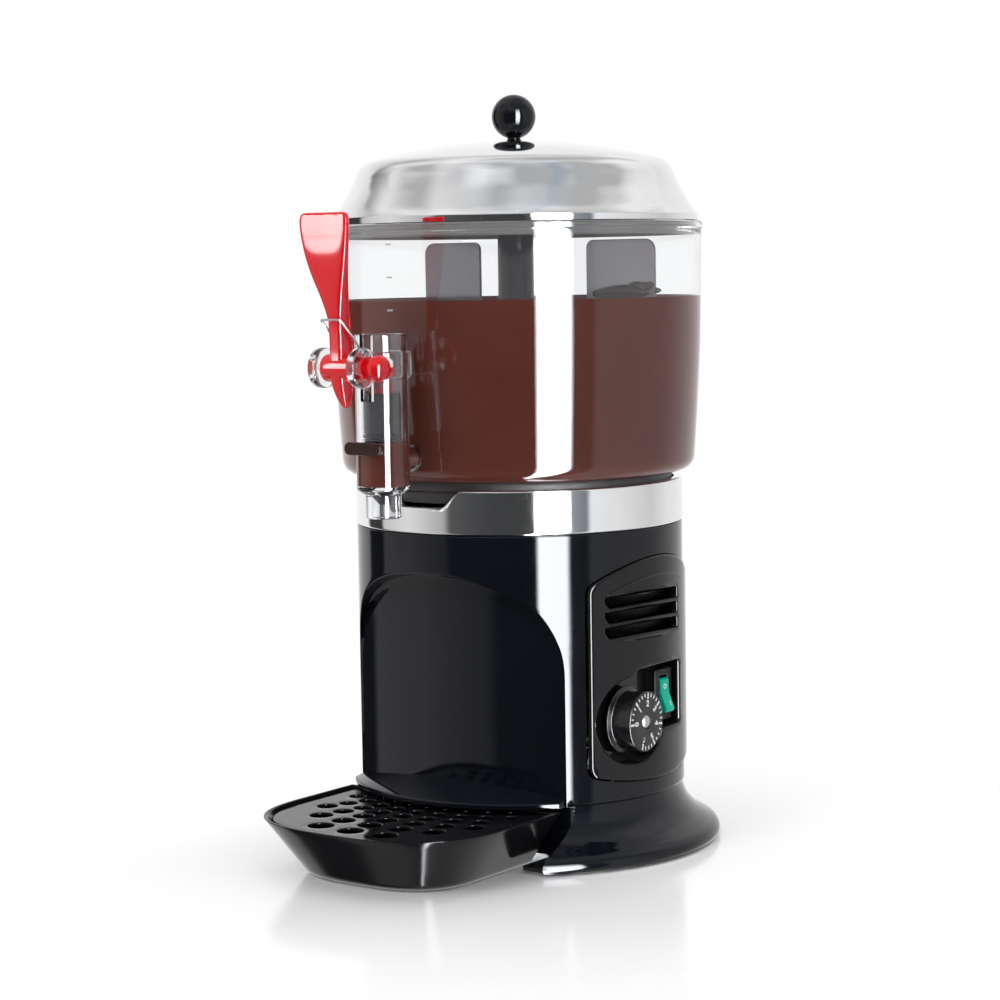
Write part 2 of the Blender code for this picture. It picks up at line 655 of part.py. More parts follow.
def control_panel():
    """Side panel with a lip behind the casing's opening: vents above, recess for dial and switch below."""
    lip_r = CASING_R - CASING_WALL - GAP
    inner_r = lip_r - 0.002
    body = solid_of_turning("control_panel", PANEL_R, PANEL_TOP_Z + 0.010, PANEL_BOTTOM_Z - 0.010, BLACK)
    keep(body, prism("panel_edge", panel_outline(-GAP), 0.070, at=(CASING_R, 0, 0), turn=FACING_SIDE))
    flange = solid_of_turning("panel_flange", lip_r, PANEL_TOP_Z + 0.011, PANEL_BOTTOM_Z - 0.011)
    keep(flange, prism("flange_edge", panel_outline(PANEL_LIP), 0.072, at=(CASING_R, 0, 0), turn=FACING_SIDE))
    cavity = solid_of_turning("panel_cavity", inner_r, PANEL_TOP_Z + 0.012, PANEL_BOTTOM_Z - 0.012)
    cut(cavity, panel_pocket("panel_well", POCKET_WALL, POCKET_X - POCKET_WALL, PANEL_R + 0.01))
    join(body, flange)
    cut(body, cavity, panel_pocket("panel_recess", 0.0, POCKET_X, PANEL_R + 0.01))
    low_f, high_f = VENT_F
    for k, z in enumerate(VENT_Z):
        low, high = z - VENT_H / 2, z + VENT_H / 2
        slot = [(-high_f, low + 0.003), (-high_f + 0.004, low), (-low_f, low), (-low_f, high), (-high_f, high)]
        cut(body, prism("vent_%d" % (k + 1), slot, 0.06, at=(CASING_R - 0.015, 0, 0), turn=FACING_SIDE))
    switch_hole = block(
        "switch_hole", (0.02, SWITCH_W - 2 * (SWITCH_RIM - GAP), SWITCH_H - 2 * (SWITCH_RIM - GAP)),
        (POCKET_X, -SWITCH_F, SWITCH_Z))
    spindle_hole = rod("spindle_hole", 0.0065, 0.02, (POCKET_X, -DIAL_F, DIAL_Z), turn=ALONG_X)
    cut(body, switch_hole, spindle_hole)
    use_manifold(body)


def switch():
    """Rocker switch: a frame clipped in the recess and a rocker on a cross pin."""
    depth = 0.018
    low_x = SWITCH_FACE_X - depth
    housing = block(
        "switch_housing", (depth, SWITCH_W - 2 * SWITCH_RIM, SWITCH_H - 2 * SWITCH_RIM),
        (low_x + depth / 2, -SWITCH_F, SWITCH_Z), SATIN_BLACK)
    rim = SWITCH_STANDS - GAP
    join(housing, block(
        "switch_rim", (rim, SWITCH_W, SWITCH_H), (SWITCH_FACE_X - rim / 2, -SWITCH_F, SWITCH_Z)))
    cut(housing, block(
        "switch_well", (0.012, ROCKER_W + 2 * CLEARANCE, ROCKER_H + 0.0035),
        (SWITCH_FACE_X - 0.004, -SWITCH_F, SWITCH_Z)))
    pivot = empty("switch_pivot", machine, (SWITCH_FACE_X - 0.002, -SWITCH_F, SWITCH_Z))
    half = ROCKER_H / 2
    side = rounded([
        (-0.0035, -half, 0.001), (0.0080, -half, 0.0015), (0.0040, 0.0, 0), (0.0030, half, 0.001),
        (-0.0035, half * 0.75, 0.0008), (-0.0065, 0, 0)], 2)
    prism("rocker", side, ROCKER_W, GREEN, pivot, turn=(math.pi / 2, 0, 0))


def dial():
    """Temperature dial on the thermostat's spindle."""
    axis = empty("dial_axis", machine, (POCKET_X, -DIAL_F, DIAL_Z))
    face = DIAL_STANDS
    flange_low = 0.0040
    turned(
        "dial",
        [(0, face - 0.0012), (0.0046, face - 0.0012), (0.0046, face), (DIAL_R - 0.0008, face), (DIAL_R, face - 0.0008),
         (DIAL_R - 0.0015, flange_low + 0.0020), (DIAL_FLANGE_R, flange_low + 0.0015),
         (DIAL_FLANGE_R, flange_low), (0.0060, flange_low), (0.0060, flange_low - 0.0030),
         (SPINDLE_R + 0.0001, flange_low - 0.0030), (SPINDLE_R + 0.0001, flange_low + 0.0080),
         (0, flange_low + 0.0080)], SATIN_BLACK, segments=28, parent=axis, turn=ALONG_X)
    turned(
        "dial_cap",
        [(0, face + 0.0004), (0.0036, face + 0.0002), (0.0042, face - 0.0002), (0.0042, face - 0.0009),
         (0, face - 0.0009)], CHROME, segments=16, parent=axis, turn=ALONG_X)
    back = -0.0180
    turned(
        "dial_spindle",
        [(0, flange_low + 0.0070), (SPINDLE_R - 0.0002, flange_low + 0.0070),
         (SPINDLE_R - 0.0002, -POCKET_WALL - 0.006), (0, -POCKET_WALL - 0.006)], STEEL, segments=14, parent=axis,
        turn=ALONG_X)
    rear = -POCKET_WALL - GAP
    turned(
        "thermostat",
        [(0, rear - 0.0065), (SPINDLE_R + CLEARANCE, rear - 0.0065), (SPINDLE_R + CLEARANCE, rear),
         (0.016, rear), (0.016, back - 0.006), (0, back - 0.006)], STEEL, segments=SMALL_ROUND,
        at=(POCKET_X, -DIAL_F, DIAL_Z), turn=ALONG_X)


def inlet():
    """Cord gland in the back of the casing."""
    inner = CASING_R - CASING_WALL
    r = CORD_HOLE_R
    turned(
        "cord_gland",
        [(CORD_BORE_R, 0.010), (r, 0.010), (r + 0.0025, 0.0045), (r + 0.0025, 0.0010), (r - GAP, 0.0010),
         (r - GAP, -0.0040), (r + 0.0018, -0.0040), (r + 0.0018, -0.0100), (CORD_BORE_R, -0.0100)], SATIN_BLACK,
        closed=True, segments=SMALL_ROUND, at=(0, CASING_R, CORD_Z), turn=(-math.pi / 2, 0, 0))
    block("terminal_block", (0.030, 0.014, 0.012), (-0.045, inner - 0.045, 0.0145), SATIN_BLACK, bevel=0.001)


# ---------------------------------------------------------------- bowl
def bowl(frame):
    """Clear bowl: tapered wall, rounded foot and a hollow column for the shaft."""
    t = BOWL_WALL
    z0 = BOWL_BOTTOM_Z
    corner = BOWL_FOOT_ROUND
    waist = (BOWL_R_TOP - 0.0012, z0 + 0.5316 * BOWL_HEIGHT)
    outer_foot = arc((BOWL_FOOT_R, z0 + corner), corner, 0, -90, 4)
    inner_foot = arc((BOWL_FOOT_R - 0.001, z0 + t + corner - 0.002), corner - 0.002, -90, 0, 3)
    bore = SHAFT_R + CLEARANCE
    profile = [
        (BOWL_R_TOP + 0.0006, BOWL_TOP_Z), (BOWL_R_TOP + 0.0006, BOWL_TOP_Z - 0.004),
        (BOWL_R_TOP, BOWL_TOP_Z - 0.0055), waist]
    profile += outer_foot
    profile += [(bore, z0), (bore, COLUMN_TOP_Z), (COLUMN_R - 0.001, COLUMN_TOP_Z), (COLUMN_R, COLUMN_TOP_Z - 0.002),
                (COLUMN_R + 0.0005, z0 + t + 0.002), (COLUMN_R + 0.0025, z0 + t)]
    profile += inner_foot
    profile += [(waist[0] - t, waist[1]), (BOWL_R_TOP - t, BOWL_TOP_Z)]
    shell = turned("bowl", profile, CLEAR, closed=True, parent=frame)
    port = rod("bowl_port", NECK_BORE_R, 0.03, (0, -BOWL_R_LOW, NECK_Z), parent=frame, turn=ALONG_Y)
    cut(shell, port)
    turned(
        "bowl_seal",
        [(SPIGOT_R, z0 - GAP), (SPIGOT_R, NOTCH_Z + 0.010), (SPIGOT_R - 0.003, NOTCH_Z + 0.002),
         (SPIGOT_R - SPIGOT_W, NOTCH_Z + 0.002), (SPIGOT_R - SPIGOT_W, z0 - GAP)], RUBBER, closed=True,
        parent=frame)
    return shell


def stirrer():
    """One moulding: tall hub, foot bar and two upright wings, turned by the shaft's flats."""
    axis = empty("stirrer_axis", bowl_frame)
    low = BOWL_BOTTOM_Z + BOWL_WALL + 0.004
    bore = COLUMN_R + 0.0011
    hub = turned(
        "stirrer",
        [(0, HUB_TOP_Z), (HUB_R - 0.002, HUB_TOP_Z), (HUB_R, HUB_TOP_Z - 0.002), (HUB_R, low), (bore, low),
         (bore, COLUMN_TOP_Z + 0.0015), (0, COLUMN_TOP_Z + 0.0015)], SMOKE, segments=SMALL_ROUND, parent=axis)
    reach_out, reach_in = OUTER_WING, INNER_WING
    bar_h = 0.008
    for name, side, (near, far) in (("outer", 1, reach_out), ("inner", -1, reach_in)):
        bar = block(
            name + "_bar", (far - HUB_R + 0.001, 0.006, bar_h),
            (side * (far + HUB_R - 0.001) / 2, 0, low + bar_h / 2), parent=axis)
        wing = prism(
            name + "_wing",
            rounded([(near, low + 0.002, 0), (far, low + 0.002, 0), (far, WING_TOP_Z, 0.006),
                     (near, WING_TOP_Z, 0.006)]),
            WING_T, parent=axis, turn=(math.pi / 2, 0, 0 if side == 1 else math.pi))
        join(hub, bar, wing)
    socket = block(
        "stirrer_socket", (2 * (SHAFT_R + GAP), 2 * (SHAFT_FLAT + GAP), SHAFT_TOP_Z - COLUMN_TOP_Z + 0.0006),
        (0, 0, (SHAFT_TOP_Z + COLUMN_TOP_Z) / 2 + 0.0003), parent=axis)
    return cut(hub, socket)


def lid(frame):
    """Polished domed lid with its ball knob."""
    # Each point: how far inside the rim, and its share of the lid's height.
    dome = [(0.0844, 0.971), (0.0614, 0.914), (0.0439, 0.857), (0.0284, 0.790), (0.0199, 0.724), (0.0169, 0.648),
            (0.0144, 0.545), (0.0116, 0.419), (0.0084, 0.305), (0.0039, 0.171), (0.0006, 0.105), (0.0, 0.057)]
    outer = [(LID_R - inset, BOWL_TOP_Z + share * LID_HEIGHT) for inset, share in dome]
    outer.append((LID_R, BOWL_TOP_Z + GAP))
    t = LID_WALL
    inner = [(r - (t if k > 3 else 0.0003), z - (t if k < 11 else 0)) for k, (r, z) in enumerate(outer)]
    inner = inner[::2]
    hole = 0.0027
    turned(
        "lid",
        [(hole, LID_APEX_Z)] + outer + inner[::-1] + [(hole, LID_APEX_Z - t)], CHROME, closed=True,
        parent=frame)
    seal_out = BOWL_R_TOP - BOWL_WALL - CLEARANCE
    turned(
        "lid_seal",
        [(seal_out, BOWL_TOP_Z - 0.0005), (seal_out, BOWL_TOP_Z - 0.0055), (seal_out - 0.0006, BOWL_TOP_Z - 0.008),
         (seal_out - 0.0025, BOWL_TOP_Z - 0.008), (seal_out - 0.0025, BOWL_TOP_Z - 0.0005)], SILICONE, closed=True,
        parent=frame)
    steps = 10
    ball = []
    for k in range(steps + 1):
        a = math.radians(90 - 165 * k / steps)
        ball.append((max(KNOB_R * math.cos(a), 0), KNOB_Z + KNOB_R * math.sin(a)))
    ball += [(0.0052, ball[-1][1]), (0.0052, LID_APEX_Z + GAP), (0.0020, LID_APEX_Z + GAP),
             (0.0020, KNOB_Z - 0.002), (0, KNOB_Z - 0.002)]
    ball[0] = (0, KNOB_Z + KNOB_R)
    turned("lid_knob", ball, BLACK, parent=frame, segments=20)
    turned(
        "knob_screw",
        [(0, KNOB_Z - 0.004), (0.0017, KNOB_Z - 0.004), (0.0017, LID_APEX_Z - t - GAP),
         (0.0065, LID_APEX_Z - t - GAP), (0.0065, LID_APEX_Z - t - 0.003), (0, LID_APEX_Z - t - 0.003)], STEEL,
        parent=frame, segments=16)


# ---------------------------------------------------------------- tap
def tap(frame):
    """Clear cylinder with its neck, spout and the two ears that carry the lever."""
    y = -TAP_F
    body = turned(
        "tap_body",
        [(TAP_R, TAP_TOP_Z), (TAP_R, TAP_SEAT_Z + 0.002), (TAP_R - 0.001, TAP_SEAT_Z - 0.002),
         (SPOUT_R, TAP_SEAT_Z - 0.004), (SPOUT_R, SPOUT_TIP_Z + 0.003), (SPOUT_R - 0.002, SPOUT_TIP_Z),
         (SPOUT_BORE_R, SPOUT_TIP_Z), (SPOUT_BORE_R, TAP_SEAT_Z - 0.002), (TAP_BORE_R, TAP_SEAT_Z + 0.001),
         (TAP_BORE_R, TAP_TOP_Z)], CLEAR, closed=True, segments=24, parent=frame, at=(0, y, 0))
    span = TAP_F - BOWL_R_LOW - 0.0012
    wall = TAP_R - TAP_BORE_R
    neck_mid = -(TAP_F + BOWL_R_LOW) / 2 + (TAP_R - wall / 2 - 0.0012) / 2
    neck = rod(
        "tap_neck", NECK_R, span - TAP_R + wall / 2, (0, neck_mid, NECK_Z), parent=frame, turn=ALONG_Y)
    collar = turned(
        "tap_collar",
        [(TAP_R + COLLAR_T, PIVOT_Z + 0.008), (TAP_R + COLLAR_T, PIVOT_Z - 0.006), (TAP_R - 0.001, PIVOT_Z - 0.008),
         (TAP_R - 0.001, PIVOT_Z + 0.010)], None, closed=True, segments=24, parent=frame, at=(0, y, 0))
    join(body, neck, collar)
    arm_back = TAP_F + 0.004
    for side in (-1, 1):
        arm = block(
            "tap_arm_%d" % (side + 2), (EAR_T - 0.0015, PIVOT_F - arm_back, ARM_H),
            (side * EAR_X, -(PIVOT_F + arm_back) / 2, PIVOT_Z), parent=frame)
        ear = rod(
            "tap_ear_%d" % (side + 2), EAR_R, EAR_T, (side * EAR_X, -PIVOT_F, PIVOT_Z), parent=frame,
            turn=ALONG_X, segments=24)
        join(body, arm, ear)
    neck_bore = rod(
        "neck_bore", NECK_BORE_R, TAP_F - BOWL_R_LOW + 0.006, (0, -(TAP_F + BOWL_R_LOW) / 2 + 0.003, NECK_Z),
        parent=frame, turn=ALONG_Y)
    pin_bore = rod(
        "pin_bore", PIN_R + CLEARANCE, 0.05, (0, -PIVOT_F, PIVOT_Z), parent=frame, turn=ALONG_X)
    finger_slot = block(
        "finger_slot", (FINGER_W + 0.0016, 0.012, 0.040), (0, -(TAP_F + TAP_BORE_R + 0.003), PIVOT_Z - 0.001),
        parent=frame)
    cut(body, neck_bore, pin_bore, finger_slot)
    use_manifold(body)
    block(
        "stop_bar", STOP_BAR, (0, -(TAP_F + TAP_R + STOP_BAR[1] / 2 + GAP), STOP_BAR_Z), BROWN, frame,
        bevel=0.0015)
    return body


def piston():
    """Red piston: lifting head, dark barrel with its ring groove, and the plug that shuts the spout."""
    axis = empty("piston_axis", bowl_frame, (0, -TAP_F, 0))
    r = TAP_BORE_R - CLEARANCE
    seal_z = 0.2690
    seal_h = 0.0032
    groove = r - 0.0020
    body = turned(
        "tap_piston",
        [(0, 0.3100), (0.0060, 0.3100), (0.0060, 0.2940), (r - 0.0005, 0.2940), (r - 0.0005, 0.2780),
         (r - 0.0005, seal_z + seal_h / 2 + 0.001), (r - 0.0005, seal_z + seal_h / 2), (groove, seal_z + seal_h / 2),
         (groove, seal_z - seal_h / 2), (r - 0.0005, seal_z - seal_h / 2), (r - 0.0005, seal_z - 0.0030),
         (0.0040, seal_z - 0.0050), (0.0040, TAP_SEAT_Z + 0.0050), (SPOUT_BORE_R - 0.0006, TAP_SEAT_Z + 0.0035),
         (SPOUT_BORE_R - 0.0006, TAP_SEAT_Z - 0.0060), (0.0030, TAP_SEAT_Z - 0.0100), (0, TAP_SEAT_Z - 0.0100)],
        RED, segments=SMALL_ROUND, parent=axis)
    window = block(
        "piston_window", (0.0090, 0.030, FINGER_PLAY), (0, -0.008, PIVOT_Z - FINGER_DROP), parent=axis)
    cut(body, window)
    turned(
        "piston_ring",
        [(r, seal_z + seal_h / 2 - GAP), (r, seal_z - seal_h / 2 + GAP), (groove + GAP, seal_z - seal_h / 2 + GAP),
         (groove + GAP, seal_z + seal_h / 2 - GAP)], RUBBER, closed=True, segments=SMALL_ROUND, parent=axis)


def lever():
    """Red lever on its cross pin, with the wire clip round its stem."""
    pivot = empty("lever_pivot", bowl_frame, (0, -PIVOT_F, PIVOT_Z))
    # Each section: height, how far its middle is in front of the pivot, width, thickness.
    sections = [
        (-0.0235, -0.0050, 0.0050, 0.0060), (-0.0160, -0.0020, 0.0085, 0.0100), (-0.0060, 0.0005, 0.0105, 0.0125),
        (0.0100, 0.0005, 0.0105, 0.0130), (0.0240, 0.0015, 0.0105, 0.0120), (0.0310, 0.0035, 0.0120, 0.0110),
        (0.0420, 0.0080, 0.0165, 0.0095), (0.0540, 0.0125, 0.0230, 0.0080), (0.0660, 0.0155, 0.0285, 0.0070),
        (0.0780, 0.0170, 0.0325, 0.0062), (0.0860, 0.0172, 0.0335, 0.0060), (0.0895, 0.0170, 0.0310, 0.0055),
        (0.0910, 0.0168, 0.0260, 0.0045)]
    rings = []
    count = 16
    for height, forward, width, thick in sections:
        ring_points = []
        for k in range(count):
            a = 2 * math.pi * (k + 0.5) / count
            x = math.copysign(abs(math.cos(a)) ** 0.4, math.cos(a)) * width / 2
            y = math.copysign(abs(math.sin(a)) ** 0.6, math.sin(a)) * thick / 2
            ring_points.append((x, y - forward, height))
        rings.append(ring_points)
    body = loft("tap_lever", rings, RED, pivot)
    hub = rod(
        "lever_hub", HUB_LEVER_R, 2 * (EAR_X - EAR_T / 2 - CLEARANCE), (0, 0, 0), parent=pivot, turn=ALONG_X)
    near = 0.0045
    reach = PIVOT_F - TAP_F + 0.0020
    finger = block(
        "lever_finger", (FINGER_W, reach - near, FINGER_T), (0, (reach + near) / 2, -FINGER_DROP), parent=pivot)
    web = block("finger_web", (FINGER_W, 0.010, 0.0130), (0, 0.0080, -0.0050), parent=pivot)
    join(body, hub, web, finger)
    cut(body, rod("lever_bore", PIN_R + GAP, 0.04, (0, 0, 0), parent=pivot, turn=ALONG_X))
    head_x = EAR_X + 0.0115
    stop = EAR_X + EAR_T / 2 + CLEARANCE
    turned(
        "lever_pin",
        [(0, head_x + 0.0075), (0.0042, head_x + 0.0068), (0.0068, head_x + 0.0045), (0.0078, head_x + 0.0010),
         (0.0070, head_x - 0.0020), (PIN_R, head_x - 0.0035), (PIN_R, stop + 0.002), (PIN_R, -stop + 0.0004),
         (PIN_R - 0.0012, -stop - 0.0010), (0, -stop - 0.0010)], RED, segments=SMALL_ROUND, parent=pivot,
        turn=ALONG_X)
    front = -0.0104
    half = 0.0074
    clip = [(half, 0.0062, 0.0075), (half, 0.0058, 0.0130), (half, front + 0.001, 0.0276), (half - 0.001, front, 0.0285),
            (0, front, 0.0285), (-half + 0.001, front, 0.0285), (-half, front + 0.001, 0.0276),
            (-half, 0.0058, 0.0130), (-half, 0.0062, 0.0075)]
    wire("lever_clip", clip, 0.0007, STEEL, pivot)


# ---------------------------------------------------------------- tray
def tray_outline(height_share, inset):
    """Plan of the tray between floor (0) and rim (1): straight sides into a superelliptic front."""
    lean = TRAY_TAPER * (1 - height_share)
    half_w = TRAY_HALF_W - lean - inset
    reach = TRAY_FRONT - TRAY_SHOULDER - lean - inset
    power = 2 / TRAY_SQUARENESS
    steps = 26
    outline = [(half_w, -(TRAY_BACK + inset))]
    for k in range(steps + 1):
        a = math.pi * k / steps
        x = math.copysign(abs(math.cos(a)) ** power, math.cos(a)) * half_w
        outline.append((x, -(TRAY_SHOULDER + max(math.sin(a), 0) ** power * reach)))
    outline.append((-half_w, -(TRAY_BACK + inset)))
    return outline


def holes_beside_middle(row_r, height_share):
    """How many drain holes of a row fit on each side of its middle one, inside the plate's edge."""
    rim = TRAY_WALL + CLEARANCE + HOLE_SHARE * row_r
    inset = rim + HOLE_EDGE
    lean = TRAY_TAPER * (1 - height_share)
    half_w = TRAY_HALF_W - lean - inset
    reach = TRAY_FRONT - TRAY_SHOULDER - lean - inset
    count = 0
    while True:
        a = (count + 1) * HOLE_STEP
        ahead = max(row_r * math.cos(a) - TRAY_SHOULDER, 0) / reach
        aside = row_r * math.sin(a) / half_w
        past_front = ahead ** TRAY_SQUARENESS + aside ** TRAY_SQUARENESS > 1
        past_back = row_r * math.cos(a) < TRAY_BACK + rim + GRID_T / 2
        if past_front or past_back:
            return count
        count += 1


def tray():
    """Pull-out drip tray, open at the top, with the drain grid resting inside."""
    frame = empty("tray_frame", machine)
    low, high = TRAY_FLOOR_Z, TRAY_RIM_Z
    depth = high - low

    def ring_at(z, inset):
        return [(x, y, z) for x, y in tray_outline((z - low) / depth, inset)]

    body = loft("drip_tray", [ring_at(low, 0), ring_at(low + 0.5 * depth, 0), ring_at(high, 0)], BLACK, frame)
    hollow = loft(
        "tray_hollow",
        [ring_at(low + TRAY_WALL, TRAY_WALL), ring_at(low + 0.5 * depth, TRAY_WALL),
         [(x, y, high + 0.001) for x, y, _ in ring_at(high, TRAY_WALL)]], None, frame)
    cut(body, hollow)
    grid_top = high - GRID_DROP
    post_h = grid_top - GRID_T - GAP - low - TRAY_WALL / 2
    post_front = TRAY_FRONT - 0.051
    post_back = TRAY_BACK + 0.0185
    for k, (x, f) in enumerate(
            ((POST_X, post_front), (-POST_X, post_front), (POST_X, post_back), (-POST_X, post_back))):
        join(body, rod(
            "tray_post_%d" % (k + 1), POST_R, post_h, (x, -f, low + TRAY_WALL / 2 + post_h / 2), parent=frame,
            segments=12))
    grid_frame = empty("grid_frame", frame)
    grid_share = (grid_top - GRID_T - low) / depth
    plate_ring = tray_outline(grid_share, TRAY_WALL + CLEARANCE)
    plate = prism(
        "drip_grid", plate_ring, GRID_T, SATIN_BLACK, grid_frame, at=(0, 0, grid_top - GRID_T / 2))
    row_r = HOLE_ROW_R
    for row in range(HOLE_ROW_COUNT):
        side_count = holes_beside_middle(row_r, grid_share)
        for k in range(-side_count, side_count + 1):
            a = k * HOLE_STEP
            cut(plate, rod(
                "drain_%d_%d" % (row, k + side_count), HOLE_SHARE * row_r, 0.01,
                (row_r * math.sin(a), -row_r * math.cos(a), grid_top), parent=grid_frame, segments=8))
        row_r *= HOLE_ROW_RATIO


# ---------------------------------------------------------------- assembly
casing()
skirt()
base()
ring()
bath()
drive()
control_panel()
switch()
dial()
inlet()
bowl_frame = empty("bowl_frame", machine)
bowl(bowl_frame)
stirrer()
tap(bowl_frame)
piston()
lever()
lid(empty("lid_frame", bowl_frame))
tray()
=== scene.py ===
# %% [markdown]
# # A countertop hot-drink dispenser
#
# The machine keeps about five litres of thick drink warm in a clear bowl, stirs it, and pours it
# through a hand tap over a drip tray. Its solids and joints come packed as a fixed frame. This
# script dresses that frame: it builds finer surfaces over the solids, gives each one a material,
# and lights it as in a plain white studio. Every place comes from the frame's own boxes.

import json
import math

import bmesh
import bpy
import numpy as np
from mathutils import Matrix, Vector, geometry

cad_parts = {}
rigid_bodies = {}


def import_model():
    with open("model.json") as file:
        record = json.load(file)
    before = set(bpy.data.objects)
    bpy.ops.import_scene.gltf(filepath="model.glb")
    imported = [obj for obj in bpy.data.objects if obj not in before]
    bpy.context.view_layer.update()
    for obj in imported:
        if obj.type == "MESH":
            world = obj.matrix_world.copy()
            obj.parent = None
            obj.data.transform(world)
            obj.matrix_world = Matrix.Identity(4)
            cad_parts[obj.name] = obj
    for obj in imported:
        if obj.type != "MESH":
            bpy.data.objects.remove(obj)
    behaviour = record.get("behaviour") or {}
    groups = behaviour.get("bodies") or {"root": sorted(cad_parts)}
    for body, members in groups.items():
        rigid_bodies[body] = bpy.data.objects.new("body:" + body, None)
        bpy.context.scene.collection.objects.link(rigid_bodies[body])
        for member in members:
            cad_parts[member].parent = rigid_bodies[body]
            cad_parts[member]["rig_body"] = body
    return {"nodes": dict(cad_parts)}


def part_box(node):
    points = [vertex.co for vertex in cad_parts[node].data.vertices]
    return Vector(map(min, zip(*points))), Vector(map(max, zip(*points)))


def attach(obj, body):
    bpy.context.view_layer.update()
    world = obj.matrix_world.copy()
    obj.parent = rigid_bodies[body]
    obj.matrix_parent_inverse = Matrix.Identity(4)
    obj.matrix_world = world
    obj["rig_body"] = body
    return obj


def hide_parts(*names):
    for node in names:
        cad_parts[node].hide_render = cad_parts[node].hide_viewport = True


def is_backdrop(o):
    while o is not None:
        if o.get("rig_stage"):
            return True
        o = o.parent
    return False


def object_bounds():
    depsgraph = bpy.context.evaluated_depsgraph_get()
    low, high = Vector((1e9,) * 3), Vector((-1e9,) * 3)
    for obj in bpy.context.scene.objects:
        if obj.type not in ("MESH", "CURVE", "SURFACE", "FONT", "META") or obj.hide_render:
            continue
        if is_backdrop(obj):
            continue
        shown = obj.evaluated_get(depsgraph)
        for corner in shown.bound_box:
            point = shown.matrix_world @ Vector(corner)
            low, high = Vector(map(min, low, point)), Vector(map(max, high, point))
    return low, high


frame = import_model()
cad_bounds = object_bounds()
bpy.context.scene.view_settings.view_transform = "Standard"


def low(node):
    return np.array(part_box(node)[0])


def high(node):
    return np.array(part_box(node)[1])


def middle(node):
    return (low(node) + high(node)) / 2


AXIS = middle("chrome_ring") * (1, 1, 0)      # the machine's upright axis
RING_R = (high("chrome_ring") - low("chrome_ring"))[0] / 2
print("axis at", AXIS.round(4), "ring radius", round(RING_R, 4))

# %% [markdown]
# The camera stands a good metre and a half away, a little above the middle of the bowl, and 36
# degrees round to the side of the controls. A long lens keeps the machine's uprights nearly
# parallel. The camera is placed from the machine's axis, so that it follows the frame.

# %% Camera
AZIMUTH = math.radians(36)
TOWARDS = Vector((math.sin(AZIMUTH), -math.cos(AZIMUTH), 0))     # from the axis to the camera
RIGHT = Vector((math.cos(AZIMUTH), math.sin(AZIMUTH), 0))
PITCH = math.radians(5.25)
ROLL = math.radians(-0.9)
camera_data = bpy.data.cameras.new("camera")
camera_data.sensor_width = 36
camera_data.lens = 92.07
camera = bpy.data.objects.new("camera", camera_data)
bpy.context.scene.collection.objects.link(camera)
forward = -TOWARDS * math.cos(PITCH) - Vector((0, 0, math.sin(PITCH)))
up = RIGHT.cross(forward)
turn = Matrix((RIGHT, up, -forward)).transposed() @ Matrix.Rotation(ROLL, 3, "Z")
place = Vector(AXIS) + TOWARDS * 1.650 - RIGHT * 0.01255 + Vector((0, 0, 0.370))
camera.matrix_world = Matrix.Translation(place) @ turn.to_4x4()
bpy.context.scene.camera = camera
print("camera at", [round(v, 3) for v in place])

# %% [markdown]
# Polished steel and clear plastic show their surroundings more than themselves, so the studio is
# the first material. Round the machine stand a white sweep, a large soft light at the left, a
# dark gap where the camera is, one narrow bright strip light beside it, and a paler wall at the
# right. The world's shader draws these as upright bands by the direction of a ray. Only mirror
# rays see the bands. Diffuse rays see one soft even sky, which is what keeps the shadows pale.

# %% Studio
BANDS = (   # degrees round from the camera to its right, and the brightness there
    (-180, 1.00), (-134, 0.95), (-130, 0.05), (-113, 0.04), (-110, 0.62), (-84, 0.80), (-55, 0.46),
    (-50, 0.10), (-20, 0.06), (10.5, 0.05), (12.5, 40.0), (32, 39.0), (34.5, 0.34), (47, 0.24),
    (50, 0.95), (75, 0.84), (104, 0.68), (125, 0.85), (180, 1.00))
BRIGHTEST = 40.0
HUES = (    # the same degrees, and the colour there
    (-180, (1, 1, 1)), (-60, (1, 1, 1)), (-40, (0.96, 0.98, 1)), (8, (0.94, 0.97, 1)),
    (31, (0.94, 0.97, 1)), (35, (0.80, 0.89, 1)), (50, (0.93, 0.97, 1)), (70, (1, 1, 1)), (180, (1, 1, 1)))


def node(tree, kind, x=0, y=0, **settings):
    """A node of this kind, with its named inputs or properties set."""
    made = tree.nodes.new(kind)
    made.location = (x, y)
    if "node_tree" in settings:      # a group has no inputs until its tree is set
        made.node_tree = settings.pop("node_tree")
    for key, value in settings.items():
        if key in made.inputs:
            made.inputs[key].default_value = value
        else:
            setattr(made, key, value)
    return made


def maths(tree, operation, a, b=None, x=0, y=0):
    """A Math node. Each side is a number or another node's output."""
    made = tree.nodes.new("ShaderNodeMath")
    made.operation = operation
    made.location = (x, y)
    for socket, value in zip(made.inputs, (a, b)):
        if value is None:
            continue
        if isinstance(value, (int, float)):
            socket.default_value = value
        else:
            tree.links.new(value, socket)
    return made.outputs[0]


def noise(tree, place, scale, detail=3.0, roughness=0.5, y=0):
    """Noise of about 1/scale metres, from this place vector."""
    made = node(tree, "ShaderNodeTexNoise", -700, y, Scale=scale, Detail=detail, Roughness=roughness)
    tree.links.new(place, made.inputs["Vector"])
    return made.outputs["Fac"]


def remap(tree, value, low_in, high_in, low_out, high_out, y=0, **settings):
    """Carries low_in..high_in over to low_out..high_out in a straight line, and holds it at the ends."""
    made = node(tree, "ShaderNodeMapRange", -300, y, **settings, **{
        "From Min": low_in, "From Max": high_in, "To Min": low_out, "To Max": high_out})
    tree.links.new(value, made.inputs[0])
    return made.outputs[0]


